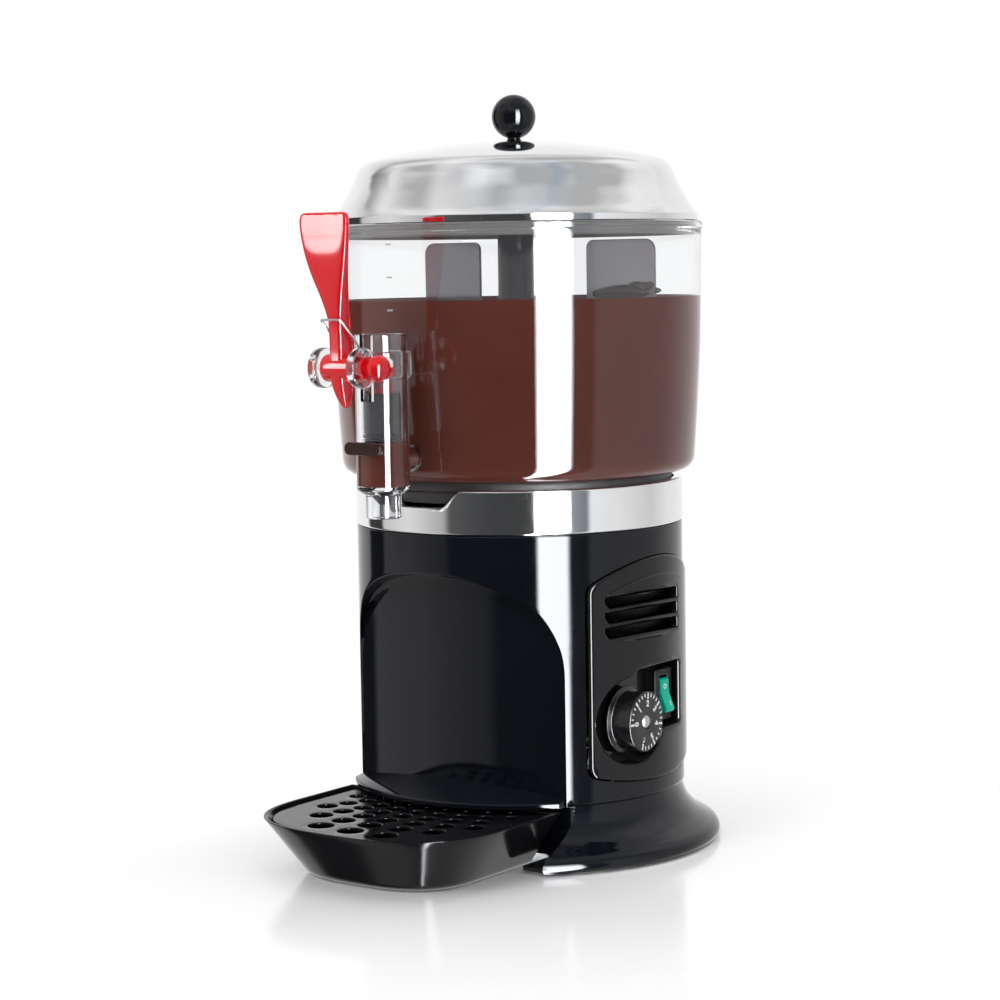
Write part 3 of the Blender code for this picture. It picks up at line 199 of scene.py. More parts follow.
def mixed(tree, share, a, b, kind="FLOAT", x=0, y=0, blend="MIX"):
    """A Mix node from a to b. Each is another node's output, or a value for its own socket."""
    made = node(tree, "ShaderNodeMix", x, y, data_type=kind, blend_type=blend)
    first, out = (2, 0) if kind == "FLOAT" else (6, 2)
    for slot, value in ((0, share), (first, a), (first + 1, b)):
        if isinstance(value, bpy.types.NodeSocket):
            tree.links.new(value, made.inputs[slot])
        else:
            made.inputs[slot].default_value = value
    return made.outputs[out]


def round_the_machine(tree, turn, colours, y=0):
    """A colour ramp over a turn, from pairs of degrees (-180 to 180) and colour."""
    made = node(tree, "ShaderNodeValToRGB", -400, y)
    tree.links.new(turn, made.inputs[0])
    stops = made.color_ramp.elements
    for degrees, colour in colours:
        share = (degrees + 180) / 360
        stop = stops[0] if share == 0 else stops[-1] if share == 1 else stops.new(share)
        stop.color = (*colour, 1)
    return made.outputs[0]


world = bpy.data.worlds.new("studio")
bpy.context.scene.world = world
world.use_nodes = True
world.cycles.sampling_method = "NONE"
sky = world.node_tree
sky.nodes.clear()
ray = node(sky, "ShaderNodeTexCoord", -1200)
axes = node(sky, "ShaderNodeSeparateXYZ", -1000)
sky.links.new(ray.outputs["Generated"], axes.inputs[0])
X, Y, Z = axes.outputs
aside = maths(sky, "ADD", maths(sky, "MULTIPLY", X, RIGHT.x), maths(sky, "MULTIPLY", Y, RIGHT.y))
ahead = maths(sky, "ADD", maths(sky, "MULTIPLY", X, TOWARDS.x), maths(sky, "MULTIPLY", Y, TOWARDS.y))
turn_share = maths(sky, "DIVIDE", maths(sky, "ARCTAN2", aside, ahead), 2 * math.pi)
turn_share = maths(sky, "ADD", turn_share, 0.5)
levels = [(degrees, (level / BRIGHTEST,) * 3) for degrees, level in BANDS]
bands = maths(sky, "MULTIPLY", round_the_machine(sky, turn_share, levels), BRIGHTEST)
# Overhead the bands give way to one broad ceiling light, a cloth with grey folds and white ones.
folds = noise(sky, ray.outputs["Generated"], 1.9, 1.0, 0.4, -600)
mirror = mixed(sky, remap(sky, Z, 0.25, 0.62, 0.0, 1.0, -300), bands,
               remap(sky, folds, 0.36, 0.64, 0.50, 0.98, -600))
soft = remap(sky, Z, -0.6, 1.0, 0.55, 1.12, -300)
paths = node(sky, "ShaderNodeLightPath", -100, 300)
glossy = paths.outputs["Is Glossy Ray"]
by_gloss = mixed(sky, glossy, soft, mirror, x=100)
seen = maths(sky, "MAXIMUM", paths.outputs["Is Camera Ray"], paths.outputs["Is Transmission Ray"])
by_view = mixed(sky, seen, by_gloss, 1.0, x=300)
# The wall beside the strip light is a little bluish, which tints the black shell's sheen there.
hue = round_the_machine(sky, turn_share, HUES, 300)
tinted = mixed(sky, glossy, (1, 1, 1, 1), hue, "RGBA", 300, 300)
backdrop = node(sky, "ShaderNodeBackground", 500)
sky.links.new(tinted, backdrop.inputs["Color"])
sky.links.new(by_view, backdrop.inputs["Strength"])
sky.links.new(backdrop.outputs[0], node(sky, "ShaderNodeOutputWorld", 700).inputs[0])
print("studio of", len(BANDS), "bands")

# %% [markdown]
# A key light above the left shoulder of the camera gives the red lever and the black shell their
# shape, and a weaker one behind picks out the edges. Both are left out of mirror rays, which the
# bands already serve.

# %% Lights


def area_light(name, at, to, size, power, seen_in_gloss=False):
    """A rectangle of light, width by height in metres, turned to face a point."""
    data = bpy.data.lights.new(name, "AREA")
    data.shape = "RECTANGLE"
    data.size, data.size_y = size
    data.energy = power
    lamp = bpy.data.objects.new(name, data)
    bpy.context.scene.collection.objects.link(lamp)
    lamp.location = at
    lamp.rotation_mode = "QUATERNION"
    lamp.rotation_quaternion = (Vector(to) - Vector(at)).to_track_quat("-Z", "Y")
    lamp.visible_glossy = seen_in_gloss
    lamp.visible_camera = False
    return lamp


bowl_middle = Vector(AXIS) + Vector((0, 0, 0.30))
key_at = bowl_middle + TOWARDS * 1.1 - RIGHT * 1.0 + Vector((0, 0, 0.9))
rim_at = bowl_middle - TOWARDS * 0.7 + RIGHT * 0.9 + Vector((0, 0, 0.7))
area_light("key_light", key_at, bowl_middle, (0.7, 0.7), 9)
area_light("rim_light", rim_at, bowl_middle, (0.5, 0.9), 5)
print("two lights, the key at", [round(v, 2) for v in key_at])

# %% [markdown]
# ## Tools for surfaces
#
# Each new piece is one or more patches. A patch is an array of points and an array of faces that
# number them. A grid patch comes from a function of two parameters. A sheet with holes comes from
# a flat outline, filled with a lattice of points and triangles and then laid on its real surface
# by a function. Patches that share a border are welded, so the piece ends as one closed mesh.

# %% Patches


def quads(rows, columns, wrap=False):
    """Face (r, c) of the grid joins its own corner to the next column and the next row."""
    r = np.arange(rows - 1)[:, None]
    c = np.arange(columns if wrap else columns - 1)[None, :]
    after = (c + 1) % columns
    corners = [r * columns + c, r * columns + after, (r + 1) * columns + after, (r + 1) * columns + c]
    return np.stack(corners, -1).reshape(-1, 4)


def grid_patch(points, wrap=False):
    """points[row, column] are places; wrap joins the last column to the first."""
    rows, columns = points.shape[:2]
    return points.reshape(-1, 3), quads(rows, columns, wrap)


def turned(profile, centre=AXIS, steps=200, start=0.0):
    """(radius, height) carried round the upright axis: x = r cos a, y = r sin a, z = height."""
    r, z = np.asarray(profile, float).T[:, :, None]
    a = start + np.linspace(0, 2 * math.pi, steps, endpoint=False)[None, :]
    x, y, z = np.broadcast_arrays(centre[0] + r * np.cos(a), centre[1] + r * np.sin(a), z + 0 * a)
    return grid_patch(np.stack([x, y, z], -1), wrap=True)


def turned_on(profile, at, along, steps=96):
    """The same, round an axis through a point: the profile's height runs along that axis."""
    points, faces = turned(profile, (0, 0, 0), steps)
    turn = np.array(Vector((0, 0, 1)).rotation_difference(Vector(along)).to_matrix())
    return points @ turn.T + np.asarray(at), faces


def flowing(points, per=8):
    """Catmull-Rom: in each span, the cubic through its ends with slopes set by their neighbours."""
    p = np.asarray(points, float)
    p = np.vstack([2 * p[0] - p[1], p, 2 * p[-1] - p[-2]])
    a, b, c, d = p[:-3], p[1:-2], p[2:-1], p[3:]
    t = np.linspace(0, 1, per, endpoint=False)[:, None, None]
    square, cube = 2 * a - 5 * b + 4 * c - d, 3 * b - a - 3 * c + d
    curve = 0.5 * (2 * b + (c - a) * t + square * t**2 + cube * t**3)
    return np.vstack([curve.transpose(1, 0, 2).reshape(-1, p.shape[1]), p[-2]])


def rounded(corners, steps=5, closed=True):
    """A line through corners (x, y, radius), each corner an arc of that radius touching both sides."""
    out = []
    count = len(corners)
    for i, (x, y, radius) in enumerate(corners):
        here = np.array((x, y))
        if radius == 0 or (not closed and i in (0, count - 1)):
            out.append(here[None])
            continue
        back = np.array(corners[i - 1][:2]) - here
        on = np.array(corners[(i + 1) % count][:2]) - here
        back, on = back / np.linalg.norm(back), on / np.linalg.norm(on)
        half = math.acos(np.clip(back @ on, -1, 1)) / 2
        mid = (back + on) / np.linalg.norm(back + on)
        t = np.linspace(-1, 1, steps + 1)[:, None] * (math.pi / 2 - half)
        side = on - mid * (on @ mid)
        side = side / np.linalg.norm(side)
        centre = here + mid * (radius / math.sin(half))
        out.append(centre + radius * (side * np.sin(t) - mid * np.cos(t)))
    return np.vstack(out)


def outward(outline):
    """Unit normals of a closed line drawn anticlockwise, mitred at each corner."""
    ahead = np.roll(outline, -1, 0) - outline
    ahead = ahead / np.linalg.norm(ahead, axis=1)[:, None]
    side = np.column_stack([ahead[:, 1], -ahead[:, 0]])
    back = np.roll(side, 1, 0)
    return (side + back) / (1 + (side * back).sum(1))[:, None]


def edged(outline, profile, lay):
    """Carries a profile of (grow, depth) along a closed outline; lay(u, v, depth) gives the place."""
    outline = np.asarray(outline, float)
    grow, depth = np.asarray(profile, float).T[:, :, None]
    flat = outline[None] + outward(outline)[None] * grow[:, :, None]
    return grid_patch(lay(flat[..., 0], flat[..., 1], depth + 0 * flat[..., 0]), wrap=True)


def grown(outline, amount):
    """The outline moved outwards by this much."""
    return np.asarray(outline) + outward(np.asarray(outline)) * amount


def inside(points, outline):
    """True where a point lies inside the outline, by counting the sides that a ray crosses."""
    x, y = points[:, 0, None], points[:, 1, None]
    x0, y0 = outline.T
    x1, y1 = np.roll(outline, -1, 0).T
    spans = (y0 > y) != (y1 > y)
    with np.errstate(divide="ignore", invalid="ignore"):
        crosses = x < (x1 - x0) * (y - y0) / (y1 - y0) + x0
    return (spans & crosses).sum(1) % 2 == 1


def in_region(points, loops):
    """True inside the first loop and outside the others."""
    ok = inside(points, loops[0])
    for hole in loops[1:]:
        ok &= ~inside(points, hole)
    return ok


def filled(outer, holes, step, lay, depth=0.0):
    """The region inside outer and outside the holes, in triangles about one step wide."""
    loops = [np.asarray(loop, float) for loop in (outer, *holes)]
    rim = np.vstack(loops)
    edges, first = [], 0
    for loop in loops:
        i = np.arange(len(loop))
        edges += (np.column_stack([i, (i + 1) % len(loop)]) + first).tolist()
        first += len(loop)
    (x0, y0), (x1, y1) = rim.min(0), rim.max(0)
    gx, gy = np.meshgrid(np.arange(x0 + step / 2, x1, step), np.arange(y0 + step / 2, y1, step))
    lattice = np.column_stack([gx.ravel(), gy.ravel()])
    lattice = lattice[in_region(lattice, loops)]
    near = np.hypot(*(lattice[:, None] - rim[None]).transpose(2, 0, 1)).min(1)
    points = np.vstack([rim, lattice[near > 0.45 * step]])
    found = geometry.delaunay_2d_cdt([Vector(p) for p in points], edges, [], 0, 1e-8)
    flat = np.array([v[:] for v in found[0]])
    faces = np.array(found[2])
    kept = faces[in_region(flat[faces].mean(1), loops)]
    return lay(flat[:, 0], flat[:, 1], np.full(len(flat), depth)), kept


def piece(name, patches, finish, body, stands_for=(), crease=38, wall=0.0, centre=None):
    """Welds patches into one object, in place. A wall thickens an open sheet inwards from its face."""
    points = np.vstack([p for p, _ in patches])
    first = np.cumsum([0] + [len(p) for p, _ in patches[:-1]])
    loops = np.concatenate([(f + s).ravel() for (_, f), s in zip(patches, first)])
    sizes = np.concatenate([np.full(len(f), f.shape[1]) for _, f in patches])
    mesh = bpy.data.meshes.new(name)
    mesh.vertices.add(len(points))
    mesh.vertices.foreach_set("co", points.astype(np.float32).ravel())
    mesh.loops.add(len(loops))
    mesh.loops.foreach_set("vertex_index", loops.astype(np.int32))
    mesh.polygons.add(len(sizes))
    mesh.polygons.foreach_set("loop_start", (np.cumsum(sizes) - sizes).astype(np.int32))
    mesh.update(calc_edges=True)
    shape = bmesh.new()
    shape.from_mesh(mesh)
    bmesh.ops.remove_doubles(shape, verts=shape.verts, dist=3e-6)
    bmesh.ops.dissolve_degenerate(shape, edges=shape.edges, dist=1e-7)
    bmesh.ops.recalc_face_normals(shape, faces=shape.faces)
    if centre is not None:
        c = Vector(centre)
        facing = sum((f.calc_center_median() - c).dot(f.normal) * f.calc_area() for f in shape.faces)
        if facing < 0:
            bmesh.ops.reverse_faces(shape, faces=shape.faces)
    shape.to_mesh(mesh)
    open_edges = sum(1 for e in shape.edges if len(e.link_faces) != 2)
    shape.free()
    mesh.shade_smooth()
    mesh.set_sharp_from_angle(angle=math.radians(crease))
    made = bpy.data.objects.new(name, mesh)
    bpy.context.scene.collection.objects.link(made)
    mesh.materials.append(finish)
    if wall:
        thick = made.modifiers.new("wall", "SOLIDIFY")
        thick.thickness = wall
        thick.offset = -1
        thick.use_even_offset = True
    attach(made, body)
    if stands_for:
        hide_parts(*stands_for)
    print(f"{name}: {len(mesh.polygons)} faces, {open_edges} open edges")
    return made

# %% [markdown]
# ## Finishes
#
# Moulded plastic is never a perfect mirror: the mould leaves a faint ripple, and hands leave fine
# rubbing marks that dull it in patches. One group makes both. It reads Object coordinates, so the
# marks stay on the piece, and it puts out a roughness and a height for a Bump node.

# %% Shared groups


def group(name, ins, outs):
    """An empty node group with these inputs (name, kind, value) and outputs (name, kind)."""
    made = bpy.data.node_groups.new(name, "ShaderNodeTree")
    for label, kind, value in ins:
        socket = made.interface.new_socket(label, in_out="INPUT", socket_type="NodeSocket" + kind)
        if value is not None:
            socket.default_value = value
    for label, kind in outs:
        made.interface.new_socket(label, in_out="OUTPUT", socket_type="NodeSocket" + kind)
    return made, node(made, "NodeGroupInput", -1400), node(made, "NodeGroupOutput", 900)


moulded, entry, leave = group(
    "moulded_surface",
    [("Roughness", "Float", 0.1), ("Rubbing", "Float", 0.05), ("Ripple", "Float", 1.0),
     ("Grain", "Float", 0.0)],
    [("Roughness", "Float"), ("Height", "Float"), ("Dust", "Float")])
where = node(moulded, "ShaderNodeTexCoord", -1200).outputs["Object"]
cloudy = remap(moulded, noise(moulded, where, 28, 4, 0.6), 0.35, 0.75, 0.0, 1.0)
fine = remap(moulded, noise(moulded, where, 420, 2, 0.6, -250), 0.45, 0.8, 0.0, 1.0, -250)
rubbed = maths(moulded, "MULTIPLY", cloudy, maths(moulded, "ADD", fine, 0.35))
marks = maths(moulded, "MULTIPLY", rubbed, entry.outputs["Rubbing"])
moulded.links.new(maths(moulded, "ADD", entry.outputs["Roughness"], marks), leave.inputs["Roughness"])
swell = maths(moulded, "MULTIPLY", noise(moulded, where, 55, 1, 0.4, -500), entry.outputs["Ripple"])
pits = maths(moulded, "MULTIPLY", noise(moulded, where, 2600, 1, 0.5, -750), entry.outputs["Grain"])
moulded.links.new(maths(moulded, "ADD", swell, pits), leave.inputs["Height"])
specks = remap(moulded, noise(moulded, where, 1500, 1, 0.5, -1000), 0.70, 0.82, 0.0, 1.0, -1000)
moulded.links.new(maths(moulded, "MULTIPLY", specks, cloudy), leave.inputs["Dust"])

# %% [markdown]
# Spun and polished steel carries hair-fine marks that run round the axis it was polished on. The
# group turns a place into its radius and height, and draws noise that is very fine across those
# and slow along the turn.

# %% Spun steel
spun, entry, leave = group(
    "spun_steel",
    [("Roughness", "Float", 0.08), ("Streak", "Float", 0.05), ("Centre", "Vector", (0, 0, 0))],
    [("Roughness", "Float"), ("Height", "Float"), ("Shade", "Float")])
where = node(spun, "ShaderNodeTexCoord", -1300).outputs["Object"]
from_axis = node(spun, "ShaderNodeVectorMath", -1150, operation="SUBTRACT")
spun.links.new(where, from_axis.inputs[0])
spun.links.new(entry.outputs["Centre"], from_axis.inputs[1])
parts = node(spun, "ShaderNodeSeparateXYZ", -1000)
spun.links.new(from_axis.outputs[0], parts.inputs[0])
squares = [maths(spun, "POWER", parts.outputs[k], 2.0) for k in (0, 1)]
radius = maths(spun, "SQRT", maths(spun, "ADD", *squares))
around = maths(spun, "ARCTAN2", parts.outputs[1], parts.outputs[0])
laid = node(spun, "ShaderNodeCombineXYZ", -800)
HAIR = 2200.0        # hair marks to a metre, across the polishing
spun.links.new(maths(spun, "MULTIPLY", radius, HAIR), laid.inputs[0])
spun.links.new(maths(spun, "MULTIPLY", parts.outputs[2], HAIR), laid.inputs[1])
spun.links.new(maths(spun, "MULTIPLY", around, 1.5), laid.inputs[2])
hair = noise(spun, laid.outputs[0], 1.0, 3, 0.6)
smear = remap(spun, noise(spun, where, 22, 4, 0.6, -300), 0.4, 0.75, 0.0, 1.0, -300)
dulled = maths(spun, "ADD", maths(spun, "MULTIPLY", hair, 0.6), maths(spun, "MULTIPLY", smear, 0.8))
streak = maths(spun, "MULTIPLY", dulled, entry.outputs["Streak"])
spun.links.new(maths(spun, "ADD", entry.outputs["Roughness"], streak), leave.inputs["Roughness"])
spun.links.new(hair, leave.inputs["Height"])
spun.links.new(remap(spun, smear, 0, 1, 1.0, 0.93, -500), leave.inputs["Shade"])

# %% [markdown]
# A finish is a Principled shader with a group feeding its Roughness and Bump. A second colour,
# where given, is mixed in by slow noise, as real mouldings and coatings are never one even colour.

# %% Finishes


DUST_COLOUR = (0.35, 0.35, 0.36, 1)


def plastic(name, colour, second=None, roughness=0.12, rubbing=0.06, ripple=1.0, grain=0.0, bump=0.02,
            dust=0.0, **sockets):
    """A moulded finish. Sockets named in the call are set on the shader itself."""
    material = bpy.data.materials.new(name)
    material.use_nodes = True
    tree = material.node_tree
    shader = tree.nodes["Principled BSDF"]
    for key, value in sockets.items():
        shader.inputs[key.replace("_", " ")].default_value = value
    skin = node(tree, "ShaderNodeGroup", -600, -100, node_tree=moulded, Roughness=roughness,
                Rubbing=rubbing, Ripple=ripple, Grain=grain)
    tree.links.new(skin.outputs["Roughness"], shader.inputs["Roughness"])
    raised = node(tree, "ShaderNodeBump", -250, -350, Strength=bump, Distance=0.001)
    tree.links.new(skin.outputs["Height"], raised.inputs["Height"])
    tree.links.new(raised.outputs[0], shader.inputs["Normal"])
    place = node(tree, "ShaderNodeTexCoord", -1100, 200).outputs["Object"]
    slow = remap(tree, noise(tree, place, 16, 3, 0.55, 200), 0.35, 0.7, 0.0, 1.0, 200)
    varied = mixed(tree, slow, (*colour, 1), (*(second or colour), 1), "RGBA", -250, 200)
    dusting = maths(tree, "MULTIPLY", skin.outputs["Dust"], dust)
    tree.links.new(mixed(tree, dusting, varied, DUST_COLOUR, "RGBA", -50, 200), shader.inputs["Base Color"])
    return material


def steel(name, colour, roughness, streak, bump, centre=AXIS):
    """A metal finish with polishing marks round an axis."""
    material = bpy.data.materials.new(name)
    material.use_nodes = True
    tree = material.node_tree
    shader = tree.nodes["Principled BSDF"]
    shader.inputs["Metallic"].default_value = 1.0
    marks = node(tree, "ShaderNodeGroup", -600, 0, node_tree=spun, Roughness=roughness,
                 Streak=streak, Centre=tuple(centre))
    tree.links.new(marks.outputs["Roughness"], shader.inputs["Roughness"])
    raised = node(tree, "ShaderNodeBump", -250, -300, Strength=bump, Distance=0.0002)
    tree.links.new(marks.outputs["Height"], raised.inputs["Height"])
    tree.links.new(raised.outputs[0], shader.inputs["Normal"])
    tint = mixed(tree, 1.0, (*colour, 1), marks.outputs["Shade"], "RGBA", -250, 200, "MULTIPLY")
    tree.links.new(tint, shader.inputs["Base Color"])
    return material


GLOSS_BLACK = plastic("gloss_black", (0.0030, 0.0036, 0.0060), (0.0040, 0.0050, 0.0085), 0.045,
    0.05, 1.0, bump=0.012, dust=0.12, Specular_IOR_Level=0.32)
PANEL_BLACK = plastic("panel_black", (0.006, 0.006, 0.007), (0.008, 0.008, 0.009), 0.07, 0.08, 1.0,
    bump=0.012, dust=0.12, Specular_IOR_Level=0.32)
DIAL_BLACK = plastic("dial_black", (0.006, 0.006, 0.007), (0.009, 0.009, 0.010), 0.20, 0.08, 0.6,
    0.4, 0.04, dust=0.2)
TRAY_BLACK = plastic("tray_black", (0.004, 0.0042, 0.0055), (0.006, 0.006, 0.0075), 0.10, 0.10, 1.0,
    0.25, 0.03, dust=0.2, Specular_IOR_Level=0.18)
SATIN_BLACK = plastic("satin_black", (0.006, 0.006, 0.007), (0.010, 0.010, 0.011), 0.30, 0.10, 0.6,
    0.5, 0.06, dust=0.2, Specular_IOR_Level=0.2)
POLISHED = steel("polished_steel", (0.86, 0.86, 0.87), 0.035, 0.05, 0.02)
PLAIN_STEEL = steel("plain_steel", (0.50, 0.51, 0.52), 0.26, 0.18, 0.08)
CLEAR = plastic("clear_plastic", (0.97, 0.975, 0.98), None, 0.0, 0.015, 1.0, bump=0.006,
    Transmission_Weight=1.0, IOR=1.49)
TAP_CLEAR = plastic("tap_clear", (0.90, 0.91, 0.93), None, 0.0, 0.02, 1.0, bump=0.02,
    Transmission_Weight=1.0, IOR=1.49)
SMOKE = plastic("smoked_plastic", (0.38, 0.365, 0.40), (0.42, 0.405, 0.44), 0.10, 0.12, 1.0,
    bump=0.02, Transmission_Weight=0.55, IOR=1.45)
SMOKE_DARK = plastic("smoked_hub", (0.030, 0.029, 0.036), (0.040, 0.038, 0.046), 0.10, 0.12, 1.0,
    bump=0.02, Transmission_Weight=0.15, IOR=1.45)
RED = plastic("red_plastic", (0.62, 0.004, 0.010), (0.70, 0.008, 0.014), 0.10, 0.06, 1.0,
    bump=0.015, Subsurface_Weight=0.12, Subsurface_Scale=0.004)
GREEN = plastic("green_plastic", (0.0, 0.42, 0.28), (0.0, 0.48, 0.33), 0.10, 0.05, 1.0, bump=0.015,
    Specular_IOR_Level=0.2)
RUBBER = plastic("dark_rubber", (0.020, 0.016, 0.016), (0.030, 0.026, 0.026), 0.45, 0.2, 0.6, 0.7,
    0.08, dust=0.3)
SILICONE = plastic("grey_silicone", (0.30, 0.285, 0.28), (0.38, 0.365, 0.36), 0.35, 0.15, 0.6, 0.4,
    0.05)
# Near-black brown for the stop bar is a painted reflection: it stands for the drink seen inside a clear
# bracket.
BROWN_PAINTED_REFLECTION = plastic("brown_plastic", (0.020, 0.008, 0.006), (0.030, 0.012, 0.009), 0.28, 0.1, 0.8, 0.2,
    0.04, Specular_IOR_Level=0.2)
DARK_SEAL = plastic("dark_barrel", (0.012, 0.010, 0.011), (0.020, 0.017, 0.018), 0.22, 0.1, 0.8,
    0.2, 0.03)
PAINT = plastic("motor_paint", (0.06, 0.07, 0.085), (0.09, 0.10, 0.12), 0.38, 0.15, 1.0, 0.6, 0.1,
    dust=0.4)
PRINT = plastic("white_print", (0.80, 0.82, 0.84), (0.70, 0.72, 0.75), 0.35, 0.1, 0.5, 0.3, 0.03)
SCALE_INK = plastic("scale_marks", (0.42, 0.43, 0.45), (0.50, 0.51, 0.53), 0.3, 0.1, 0.5, 0.2, 0.02)
DRINK = plastic("thick_drink", (0.185, 0.052, 0.037), (0.212, 0.061, 0.045), 0.45, 0.12, 1.0, 0.0,
    0.05, Specular_IOR_Level=0.0)
RESIDUE = plastic("drink_residue", (0.050, 0.022, 0.018), (0.065, 0.028, 0.022), 0.16, 0.05, 1.0,
    0.0, 0.05, Specular_IOR_Level=0.4)

FOR_SLOT = {
    "gloss_black": GLOSS_BLACK, "satin_black": SATIN_BLACK, "polished_steel": POLISHED,
    "plain_steel": PLAIN_STEEL, "clear_plastic": CLEAR, "smoked_plastic": SMOKE, "red_plastic": RED,
    "green_plastic": GREEN, "dark_rubber": RUBBER, "grey_silicone": SILICONE, "brown_plastic": BROWN_PAINTED_REFLECTION,
    "motor_paint": PAINT}
for name, solid in frame["nodes"].items():
    packed = solid.data.materials[0].name.split(".")[0] if solid.data.materials else "none"
    solid.data.materials.clear()
    solid.data.materials.append(FOR_SLOT.get(packed, SATIN_BLACK))
    if packed not in FOR_SLOT:
        print(name, "had the finish", packed)
print(len(FOR_SLOT), "slots have a finish")

# %% [markdown]
# ## The black shell
#
# The casing is one moulding: a drum with an arched cup space pressed into its front. It could be
# cut with Booleans, but a cut leaves a knife edge and long thin triangles that spoil a mirror
# finish. So the drum is unrolled flat, filled with small triangles round the arch and the side
# opening, and rolled up again. The arch's edge is a small profile carried along its outline.

# %% Casing
CASING_R = high("body_shell")[0]
CASING_LOW, CASING_TOP = low("body_shell")[2], high("body_shell")[2]
NICHE_HALF_W, NICHE_TOP, NICHE_SHOULDER = 0.0804, CASING_LOW + 0.1432, CASING_LOW + 0.0777
WALL_F, WALL_R = CASING_R - 0.022, 0.201
LEDGE_R, LEDGE_Z = CASING_R + 0.005, CASING_LOW + 0.0037


def on_drum(s, z, depth, radius=CASING_R):
    """s runs along the drum's skin from its front towards +X; depth goes in towards the axis."""
    a = s / CASING_R
    r = radius - depth
    return np.stack([AXIS[0] + r * np.sin(a), AXIS[1] - r * np.cos(a), z], -1)


def arch(grow, steps=72):
    """Front view of the cup space in (x, z): a superellipse of power 2.4 on straight sides."""
    t = np.linspace(0, math.pi, steps)
    c, s = np.cos(t), np.sin(t)
    x = np.sign(c) * np.abs(c) ** (2 / 2.4) * (NICHE_HALF_W + grow)
    z = NICHE_SHOULDER + np.maximum(s, 0) ** (2 / 2.4) * (NICHE_TOP + grow - NICHE_SHOULDER)
    straight = np.linspace(CASING_LOW, NICHE_SHOULDER, 16)[:-1]
    right = np.column_stack([np.full(15, NICHE_HALF_W + grow), straight])
    left = np.column_stack([np.full(15, -NICHE_HALF_W - grow), straight[::-1]])
    return np.vstack([right, np.column_stack([x, z]), left])


def cup_space(grow, share):
    """Points of the arch at a share of the way from the drum's skin (0) to the back wall (1)."""
    x, z = arch(grow).T
    skin = np.sqrt(CASING_R**2 - x**2)
    wall = WALL_F - WALL_R + np.sqrt(WALL_R**2 - x**2)
    forward = skin * (1 - share) + wall * share
    return np.stack([AXIS[0] + x, AXIS[1] - forward, z], -1)


EDGE = 0.0022
q = np.linspace(0, math.pi / 2, 6)
front_round = [(EDGE * (1 - math.sin(a)), 0.09 * (1 - math.cos(a))) for a in q]
back_round = [(-0.005 * (1 - math.cos(a)), 0.80 + 0.20 * math.sin(a)) for a in q]
rows = np.stack([cup_space(g, w) for g, w in front_round + back_round])
cup_wall = grid_patch(rows)


def on_back_wall(x, z, depth):
    forward = WALL_F - WALL_R + np.sqrt(WALL_R**2 - x**2) - depth
    return np.stack([AXIS[0] + x, AXIS[1] - forward, z], -1)


cup_back = filled(arch(-0.005), [], 0.004, on_back_wall)
mouth = arch(EDGE)
mouth_s = np.column_stack([CASING_R * np.arcsin(mouth[:, 0] / CASING_R), mouth[:, 1]])
around = np.linspace(-math.pi, math.pi, 241) * CASING_R
round_top = 0.0012
top_z = CASING_TOP - round_top
foot_left = around[around < mouth_s[-1, 0] - 0.002]
foot_right = around[around > mouth_s[0, 0] + 0.002]
seam_z = np.linspace(CASING_LOW, top_z, 48)
skin = np.vstack([
    np.column_stack([foot_left, np.full(len(foot_left), CASING_LOW)]), mouth_s[::-1],
    np.column_stack([foot_right[:-1], np.full(len(foot_right) - 1, CASING_LOW)]),
    np.column_stack([np.full(len(seam_z), around[-1]), seam_z]),
    np.column_stack([around[::-1][1:-1], np.full(len(around) - 2, top_z)]),
    np.column_stack([np.full(len(seam_z) - 1, around[0]), seam_z[:0:-1]])])
PANEL_HALF_W, PANEL_TOP, PANEL_BOTTOM = 0.0560, CASING_LOW + 0.1507, CASING_LOW + 0.0102
PANEL_TOP_R, PANEL_LOW_R, PANEL_CORNER, CORNER_CLEAR = 0.110, 0.237, 0.008, 0.0085


def panel_outline(grow, steps=22):
    """Side view of the panel in (y, z): a strong arch above, a slow arch below, corners rounded."""
    half = PANEL_HALF_W + grow
    top_r, low_r = PANEL_TOP_R + grow, PANEL_LOW_R + grow
    t = np.linspace(math.asin(half / top_r), -math.asin(half / top_r), steps)
    b = np.linspace(-math.asin(half / low_r), math.asin(half / low_r), steps)
    top = np.column_stack([top_r * np.sin(t), PANEL_TOP - PANEL_TOP_R + top_r * np.cos(t)])
    below = np.column_stack([low_r * np.sin(b), PANEL_BOTTOM + PANEL_LOW_R - low_r * np.cos(b)])
    ends = {0: PANEL_CORNER + grow, steps - 1: PANEL_CORNER + grow}
    corners = [(y, z, ends.get(i, 0)) for i, (y, z) in enumerate(top)]
    corners += [(y, z, ends.get(i, 0)) for i, (y, z) in enumerate(below)]
    keep = []
    for y, z, r in corners:       # the arcs start past each rounded corner
        if r or abs(abs(y) - half) >= CORNER_CLEAR:
            keep.append((y, z, r))
    return rounded(keep, 6)


hole = panel_outline(0.0006)
hole_s = np.column_stack([CASING_R * (math.pi / 2 + np.arcsin(hole[:, 0] / CASING_R)), hole[:, 1]])
drum = filled(skin, [hole_s], 0.0036, on_drum)
reveal = [(0, 0.0), (-0.0003, 0.0003), (-0.0003, 0.004)]
opening = edged(hole_s, reveal, on_drum)
t = np.linspace(0, math.pi / 2, 5)
shoulder = [(CASING_R - round_top * (1 - math.cos(a)), top_z + round_top * math.sin(a)) for a in t]
deck = turned(shoulder + [(CASING_R - 0.0075, CASING_TOP)], steps=240, start=-math.pi / 2)
piece(
    "casing", [drum, cup_wall, cup_back, opening, deck], GLOSS_BLACK, "base",
    ["body_shell"], wall=0.0020, centre=AXIS + (0, 0, 0.12))

# %% [markdown]
# The ledge under the cup space slopes forward to a rounded lip that hangs over the tray, so drips
# run into it. It is a slow cone about the machine's axis, made as a closed wedge.

